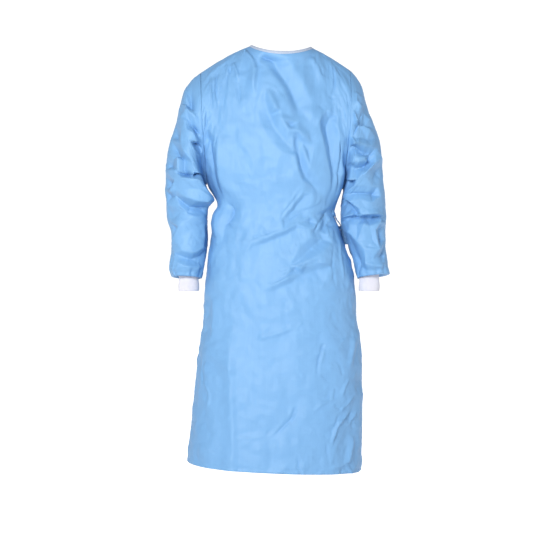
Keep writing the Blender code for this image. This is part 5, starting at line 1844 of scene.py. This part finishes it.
@dataclass
class WaistTies:
    """The two waist ties, tied at the wearer's left with two bows and two free ends."""

    body: GownBody
    surface: LaidSurface
    knot_centre: tuple = (0.1822, 0.040, -0.5300)
    knot_radii: tuple = (0.0078, 0.0132, 0.0088)
    width: float = 0.016
    neck: float = 0.0085
    clear: float = 0.0032
    root_clear: float = 0.0016
    bows: tuple = (Bow("waist_bow_front", -0.0082, -0.0062, 0.012, -0.012, 0.042),
                   Bow("waist_bow_back", 0.0082, -0.0068, 0.000, 0.006, 0.036))
    bow_width: float = 0.012
    bow_half_girth: float = 0.0065
    bow_turn: float = 0.95
    ends: tuple = (TieEnd("waist_end_front", -0.33, 0.008, 0.026, 0.105),
                   TieEnd("waist_end_back", 0.15, -0.004, 0.044, 0.120))
    droop: float = 1.6
    end_width: float = 0.013
    lies: dict = field(default_factory=lambda: {Side.FRONT: ((0.900, 0.999), (1.085, 1.108)),
                                                Side.BACK: ((0.785, 0.960), (1.095, 1.138))})

    def knot_surface(self, direction: tuple, sunk: float = 0.0012) -> np.ndarray:
        """Return a point just under the knot's surface in a direction from its centre."""
        way = unit(np.array(direction, float))
        return np.array(self.knot_centre) + way * (1 / np.linalg.norm(way / np.array(self.knot_radii)) - sunk)

    def tie(self, side: Side) -> Ribbon:
        """Return the tie that is sewn on one side, follows the cloth and runs into the knot.

        Args:
            side: Front or back half.

        Returns:
            The strip, not yet a mesh.
        """
        (s0, s1), (v0, v1) = self.lies[side]
        share = np.linspace(0.0, 1.0, 71)
        s, v = mix(s0, s1, share), mix(v0, v1, share)
        place, normal = self.body.form.place(side, s, v), self.body.form.normal(side, s, v)
        _, across, _ = frames(place, normal)
        widths = mix(self.width, self.neck, ease(share * 1.1))
        looks = place[:, None] + across[:, None] * (widths[:, None] * np.linspace(-0.5, 0.5, 5))[..., None]
        height = self.surface.rise(looks, np.repeat(normal[:, None], 5, axis=1)).max(axis=1)
        height = smoothed(np.maximum(height, smoothed(height[:, None], 3)[:, 0])[:, None], 4)[:, 0]
        height = height + mix(self.root_clear, self.clear, ease(share * 3))
        route = place + normal * height[:, None]
        arrive = self.knot_surface(route[-1] - np.array(self.knot_centre), 0.003)
        run_in = mix(route[-1], arrive, np.linspace(0.0, 1.0, 14)[1:, None])
        route = smoothed(np.concatenate((route, run_in)), 2)
        faces_to = smoothed(np.concatenate((normal, np.repeat(normal[-1:], 13, axis=0))), 3)
        name = f"gown_waist_tie_{side.name.lower()}"
        return Ribbon(name, route, faces_to, np.concatenate((widths, np.full(13, self.neck))),
                      101 + side.value)

    def bow(self, bow: Bow, seed: int) -> Ribbon:
        """Return one hanging loop of the bow.

        Args:
            bow: The loop.
            seed: Seed of its draws.

        Returns:
            The strip, not yet a mesh.
        """
        turn = np.linspace(-self.bow_turn, self.bow_turn, 71) * math.pi
        down = (1 + np.cos(turn)) / 2
        root = np.array(self.knot_centre) + (0.0, bow.root_y, bow.root_z)
        route = root + np.stack([bow.lean_x * down + 0.0012 * np.sin(2 * turn),
                                 bow.lean_y * down + np.sin(turn) * self.bow_half_girth,
                                 -bow.length * down + 0.004 * (1 - down) ** 3], axis=1)
        faces_to = np.stack([0.25 * np.sin(turn), np.sin(turn), -np.cos(turn)], axis=1)
        widths = self.bow_width * mix(0.62, 1.0, ease(down * 2.2))
        return Ribbon(f"gown_{bow.name}", route, faces_to, widths, seed, cup=0.0014)

    def end(self, end: TieEnd, seed: int) -> Ribbon:
        """Return one free end, which leaves the back of the knot and hangs down.

        Args:
            end: The free end.
            seed: Seed of its draws.

        Returns:
            The strip, not yet a mesh.
        """
        share = np.linspace(0.0, 1.0, 91)
        route = self.knot_surface((0.0, 1.0, end.leaves_up)) + np.stack(
            [end.lean_x * share + 0.0016 * np.sin(share * 7.0),
             end.lean_y * np.sin(share * math.pi / 2), -end.length * share ** self.droop], axis=1)
        faces_to = np.cross(np.gradient(route, axis=0), (-1.0, 0.12, 0.0))
        faces_to = unit(faces_to) + 0.35 * np.sin(share * 5.0)[:, None] * np.array((1.0, 0.0, 0.0))
        widths = mix(self.neck, self.end_width, ease(share * 2))
        return Ribbon(f"gown_{end.name}", route, faces_to, widths, seed)

    def knot(self) -> bpy.types.Object:
        """Build the knot: a band wrapped round the gathered ties.

        Returns:
            The knot.
        """
        turn = np.linspace(0.0, 2 * math.pi, 97)
        along = np.linspace(-1.0, 1.0, 57)
        rows = []
        for place in along:
            tilt = place + 0.10 * np.sin(turn)
            end = np.sqrt(max(1 - place ** 2, 0.0)) ** 0.8
            band = ease((0.40 - np.abs(tilt)) / 0.08)
            groove = bell(np.abs(tilt) - 0.46, 0.07)
            pleat = 0.10 * np.cos(turn * 9 + 3.0 * np.sin(turn + 4 * place)) * (1 - band)
            wrap = 0.035 * np.cos(tilt * 26.0 + 0.8 * np.sin(turn * 2)) * band
            reach = end * (0.86 + 0.14 * band - 0.16 * groove + pleat + wrap)
            rows.append(stack(self.knot_radii[0] * reach * np.cos(turn), self.knot_radii[1] * place,
                              self.knot_radii[2] * reach * np.sin(turn)))
        points = np.array(rows) + np.array(self.knot_centre)
        girth, length = turn * 0.009, along * 0.014
        flat = np.stack(np.meshgrid(girth, length), axis=-1)
        return cloth_piece("gown_waist_knot", points, flat, 0.0, tube=True)

    def ribbons(self) -> list:
        """Return every strip of the ties with the solid that it stands for.

        Returns:
            Pairs of a strip and the name of its solid.
        """
        made = [(self.tie(side), f"waist_tie_{side.name.lower()}") for side in (Side.FRONT, Side.BACK)]
        made += [(self.bow(bow, 111 + number * 7), bow.name) for number, bow in enumerate(self.bows)]
        return made + [(self.end(end, 131 + number * 7), end.name) for number, end in enumerate(self.ends)]


# ---------------------------------------------------------------- finishes
class Wire:
    """A number that runs through a material's nodes; arithmetic on it adds Math nodes."""

    def __init__(self, bench: "Bench", socket: bpy.types.NodeSocket) -> None:
        """Wrap an output socket."""
        self.bench, self.socket = bench, socket

    def _math(self, operation: str, first: "Wire | float", second: "Wire | float") -> "Wire":
        """Add a Math node on two values or wires."""
        return self.bench.add("ShaderNodeMath", {"operation": operation}, {0: first, 1: second})

    def __add__(self, other: "Wire | float") -> "Wire":
        """Add."""
        return self._math("ADD", self, other)

    def __sub__(self, other: "Wire | float") -> "Wire":
        """Subtract."""
        return self._math("SUBTRACT", self, other)

    def __mul__(self, other: "Wire | float") -> "Wire":
        """Multiply."""
        return self._math("MULTIPLY", self, other)


class Bench:
    """A material or a world under work: adds nodes, joins them and feeds the shader."""

    def __init__(self, owner: bpy.types.ID, shader: str = "Principled BSDF") -> None:
        """Switch on the nodes of a new material or world.

        Args:
            owner: The material or world.
            shader: Name of its shader node.
        """
        owner.use_nodes = True
        self.owner, self.tree = owner, owner.node_tree
        self.shader = self.tree.nodes[shader]

    def add(self, kind: str, settings: dict, values: dict, output: int | str = 0) -> Wire:
        """Add a node.

        Args:
            kind: Type of the node.
            settings: Its properties, which are set first.
            values: Values or wires for its input sockets, by name or number.
            output: Name or number of the output to return.

        Returns:
            The chosen output.
        """
        node = self.tree.nodes.new(kind)
        for key, value in settings.items():
            setattr(node, key, value)
        for key, value in values.items():
            self.feed(node.inputs[key], value)
        return Wire(self, node.outputs[output])

    def feed(self, socket: bpy.types.NodeSocket, value: "Wire | float | tuple") -> None:
        """Join a wire to a socket or set its value.

        Args:
            socket: The input socket.
            value: The wire or value.
        """
        if isinstance(value, Wire):
            self.tree.links.new(value.socket, socket)
        else:
            socket.default_value = value

    def dress(self, inputs: dict) -> None:
        """Give the shader's inputs their values or wires, by name."""
        for name, value in inputs.items():
            self.feed(self.shader.inputs[name], value)

    def flat_cloth(self, scale: tuple) -> Wire:
        """Return places on the flat cloth, stretched by a scale."""
        place = self.add("ShaderNodeUVMap", {"uv_map": "flat_cloth"}, {})
        return self.add("ShaderNodeMapping", {}, {"Vector": place, "Scale": scale})

    def noise(self, scale: tuple, detail: float = 2.0, rough: float = 0.5) -> Wire:
        """Return cloudy noise on the flat cloth, about 0 to 1.

        Args:
            scale: How fine the noise is along each axis of the flat cloth.
            detail: Finer layers of noise.
            rough: Strength of those layers.

        Returns:
            The noise.
        """
        return self.add("ShaderNodeTexNoise", {"noise_dimensions": "2D"},
                        {"Vector": self.flat_cloth(scale), "Scale": 1.0,
                         "Detail": detail, "Roughness": rough})

    def blend(self, factor: "Wire | float", first: "Wire | tuple", second: "Wire | tuple",
              way: str = "MIX") -> Wire:
        """Return a mix of two colours."""
        return self.add("ShaderNodeMix", {"data_type": "RGBA", "blend_type": way},
                        {0: factor, 6: first, 7: second}, 2)

    def bump(self, height: Wire) -> Wire:
        """Return normals bent by a height in metres."""
        return self.add("ShaderNodeBump", {}, {"Height": height, "Distance": 1.0, "Strength": 1.0})


@dataclass(frozen=True)
class NonwovenCloth:
    """Thin spunbonded cloth: matt, faintly streaked along its length, with fine bond dots."""

    name: str
    colour: tuple
    shade: tuple
    roughness: float = 0.58
    gloss: float = 0.60
    streak_bump: float = 0.00010
    fibre_bump: float = 0.00005

    def material(self) -> bpy.types.Material:
        """Build the material.

        Returns:
            The material.
        """
        bench = Bench(bpy.data.materials.new(self.name))
        streaks = bench.noise((260.0, 7.0, 1.0), 3.0, 0.6)
        wide_streaks = bench.noise((70.0, 2.4, 1.0), 2.0)
        clouds = bench.noise((9.0, 6.0, 1.0), 2.0)
        fibres = bench.noise((1100.0, 700.0, 1.0), 2.0, 0.7)
        dots = bench.add("ShaderNodeTexVoronoi", {"voronoi_dimensions": "2D", "feature": "F1"},
                         {"Vector": bench.flat_cloth((620.0, 620.0, 1.0)), "Scale": 1.0, "Randomness": 0.25})
        tone = streaks * 0.45 + wide_streaks * 0.30 + clouds * 0.30 + fibres * 0.18 - 0.12
        height = streaks * self.streak_bump + wide_streaks * (self.streak_bump * 2.2)
        height = height + fibres * self.fibre_bump + dots * (self.fibre_bump * 0.9)
        bench.dress({"Base Color": bench.blend(tone, self.shade, self.colour),
                     "Roughness": fibres * 0.12 + (self.roughness - 0.06),
                     "Specular IOR Level": self.gloss, "Normal": bench.bump(height)})
        return bench.owner


@dataclass(frozen=True)
class RibKnit:
    """White ribbed knit of the cuffs, with the loops of its yarn and painted shade in the grooves between the
    loops.
    """

    name: str = "white_knit"
    colour: tuple = (0.800, 0.790, 0.850, 1.0)
    # groove: a darker colour, painted as shade into the grooves between the knit's loops
    groove: tuple = (0.600, 0.595, 0.670, 1.0)

    def material(self) -> bpy.types.Material:
        """Build the material.

        Returns:
            The material.
        """
        bench = Bench(bpy.data.materials.new(self.name))
        loops = bench.add("ShaderNodeTexWave", {"wave_type": "BANDS", "bands_direction": "Y"},
                          {"Vector": bench.flat_cloth((1.0, 1.0, 1.0)), "Scale": 210.0,
                           "Distortion": 1.2, "Detail": 1.0, "Detail Scale": 2.0})
        yarn = bench.noise((900.0, 1400.0, 1.0), 2.0, 0.6)
        # Darker where the bump of the loops and the yarn sinks: painted shade in the grooves between the
        # loops, partly random tone of the yarn.
        tone = loops * 0.35 + yarn * 0.45 + 0.25
        bench.dress({"Base Color": bench.blend(tone, self.groove, self.colour), "Roughness": 0.92,
                     "Sheen Weight": 0.25, "Specular IOR Level": 0.2,
                     "Normal": bench.bump(loops * 0.00012 + yarn * 0.00008)})
        return bench.owner


@dataclass(frozen=True)
class Thread:
    """Pale polyester sewing thread."""

    name: str = "sewing_thread"
    colour: tuple = (0.80, 0.85, 0.93, 1.0)

    def material(self) -> bpy.types.Material:
        """Build the material.

        Returns:
            The material.
        """
        bench = Bench(bpy.data.materials.new(self.name))
        place = bench.add("ShaderNodeTexCoord", {}, {}, "Object")
        twist = bench.add("ShaderNodeTexNoise", {}, {"Vector": place, "Scale": 2600.0, "Detail": 1.0})
        darker = tuple(part * 0.86 for part in self.colour[:3]) + (1.0,)
        bench.dress({"Base Color": bench.blend(twist, darker, self.colour), "Roughness": 0.55})
        return bench.owner


# ---------------------------------------------------------------- studio
@dataclass
class Studio:
    """Pale floor, white surroundings, soft lights and the camera."""

    floor_z: float = -1.66
    floor_radius: float = 30.0
    camera_place: tuple = (-0.0409, -4.6, -0.6439)
    lens: float = 106.4
    sensor: float = 36.0
    white: float = 1.10
    backdrop: tuple = ((0.60, (0.30, 0.31, 0.33, 1.0)), (0.95, (1.0, 1.0, 1.0, 1.0)))
    ceiling: tuple = ((0.2, (1.0, 1.0, 1.0, 1.0)), (0.6, (0.90, 0.94, 1.0, 1.0)))
    key_place: tuple = (-1.1, -3.8, 0.6)
    key_size: float = 1.1
    key_power: float = 140.0
    fill_place: tuple = (3.2, -0.9, 0.0)
    fill_size: float = 1.5
    fill_power: float = 20.0
    light_colour: tuple = (1.0, 0.99, 0.97)
    floor_colour: tuple = (0.86, 0.86, 0.87, 1.0)
    floor_glow: tuple = ((0.10, 0.10, 0.10, 1.0), (1.0, 1.0, 1.0, 1.0))
    glow_y: tuple = (0.2, 1.25)

    def floor(self) -> None:
        """Build the floor as a wide disc that glows white behind the gown, as the backdrop does."""
        disc = bmesh.new()
        bmesh.ops.create_circle(disc, cap_ends=True, segments=96, radius=self.floor_radius)
        bmesh.ops.translate(disc, vec=(0.0, 0.0, self.floor_z), verts=disc.verts[:])
        made = placed_object("studio_floor", mesh_of("studio_floor", disc))
        bench = Bench(bpy.data.materials.new("studio_white"))
        place = bench.add("ShaderNodeTexCoord", {}, {}, "Object")
        behind = bench.add("ShaderNodeSeparateXYZ", {}, {"Vector": place}, "Y")
        glow = bench.add("ShaderNodeMapRange", {"interpolation_type": "SMOOTHSTEP"},
                         {"Value": behind, "From Min": self.glow_y[0], "From Max": self.glow_y[1]})
        bench.dress({"Base Color": self.floor_colour, "Roughness": 1.0, "Specular IOR Level": 0.0,
                     "Emission Color": bench.blend(glow, *self.floor_glow), "Emission Strength": 1.0})
        made.data.materials.append(bench.owner)

    def surroundings(self) -> None:
        """Surround the set with a white backdrop and dimmer walls and ceiling."""
        world = bpy.data.worlds.new("studio_surroundings")
        bpy.context.scene.world = world
        bench = Bench(world, "Background")
        way = bench.add("ShaderNodeTexCoord", {}, {}, "Generated")
        shades = []
        for axis, stops in (("Y", self.backdrop), ("Z", self.ceiling)):
            part = bench.add("ShaderNodeSeparateXYZ", {}, {"Vector": way}, axis)
            ramp = bench.add("ShaderNodeValToRGB", {}, {0: part})
            for element, (position, colour) in zip(ramp.socket.node.color_ramp.elements, stops):
                element.position, element.color = position, colour
            shades.append(ramp)
        bench.dress({"Color": bench.blend(1.0, *shades, way="MULTIPLY"), "Strength": self.white})

    def light(self, name: str, place: tuple, aim: tuple, size: float, power: float) -> None:
        """Hang a soft square light that looks at a point.

        Args:
            name: Name of the light.
            place: Where it hangs.
            aim: The point that it looks at.
            size: Length of its sides.
            power: Its power in watts.
        """
        data = bpy.data.lights.new(name, "AREA")
        data.size = size
        data.energy = power
        data.color = self.light_colour
        made = placed_object(name, data)
        made.location = place
        made.rotation_euler = (Vector(aim) - Vector(place)).to_track_quat("-Z", "Y").to_euler()

    def camera(self) -> None:
        """Set up the camera, level and straight on to the gown."""
        data = bpy.data.cameras.new("camera")
        data.sensor_width = self.sensor
        data.lens = self.lens
        data.clip_end = 100.0
        made = placed_object("camera", data)
        made.location = self.camera_place
        made.rotation_euler = (math.pi / 2, 0.0, 0.0)
        bpy.context.scene.camera = made

    def build(self) -> None:
        """Set up the floor, the surroundings, the lights and the camera."""
        self.floor()
        self.surroundings()
        self.light("key_light", self.key_place, (0.0, 0.0, -0.55), self.key_size, self.key_power)
        self.light("fill_light", self.fill_place, (0.2, 0.0, -0.40), self.fill_size, self.fill_power)
        self.camera()
        bpy.context.scene.view_settings.view_transform = "Standard"


def main() -> None:
    """Build and dress the whole gown."""
    logging.basicConfig(level=logging.INFO, format="%(name)s: %(message)s")
    blue = NonwovenCloth("nonwoven_cloth", (0.200, 0.424, 0.715, 1.0), (0.157, 0.368, 0.662, 1.0)).material()
    pale = NonwovenCloth("pale_binding", (0.500, 0.570, 0.690, 1.0), (0.420, 0.500, 0.640, 1.0)).material()
    knit = RibKnit().material()
    body = GownBody()
    front = body.front_panel()
    show(front, blue, "nonwoven_cloth", "front_panel")
    outer = body.back_panel("gown_back_right", True)
    show(outer, blue, "nonwoven_cloth", "back_panel_right")
    inner = body.back_panel("gown_back_left", False)
    show(inner, blue, "nonwoven_cloth", "back_panel_left")
    right = Sleeve(End.RIGHT, RIGHT_RINGS, (-0.2670, -0.024), 61, RIGHT_FACETS, RIGHT_LINES)
    left = Sleeve(End.LEFT, LEFT_RINGS, (0.2570, -0.024), 71, LEFT_FACETS, LEFT_LINES, armhole_bow=0.006)
    right.twin, left.twin = left, right
    for sleeve in (right, left):
        piece = sleeve.build()
        show(piece, blue, "nonwoven_cloth", f"sleeve_{sleeve.end.word}")
        cuff = sleeve.build_cuff()
        show(cuff, knit, "white_knit", f"cuff_{sleeve.end.word}")
    thread = Thread().material()
    whole = LaidSurface(front, outer, inner)
    binding, seam, length = NeckBinding(body, front, outer, inner).build()
    show(binding, pale, "pale_binding", "neck_binding")
    show(Stitching("gown_binding_stitches").build(seam), thread, "pale_binding")
    tab, seams = NeckTab(body, whole).build()
    show(tab, pale, "pale_binding", "neck_tab")
    show(Stitching("gown_tab_stitches").build(*seams), thread, "pale_binding")
    ties = WaistTies(body, whole)
    show(ties.knot(), blue, "nonwoven_cloth", "waist_knot")
    for ribbon, node in ties.ribbons():
        piece = ribbon.build()
        show(piece, blue, "nonwoven_cloth", node)
        round(ribbon.length, 4)
    Studio().build()


if __name__ == "__main__":
    main()
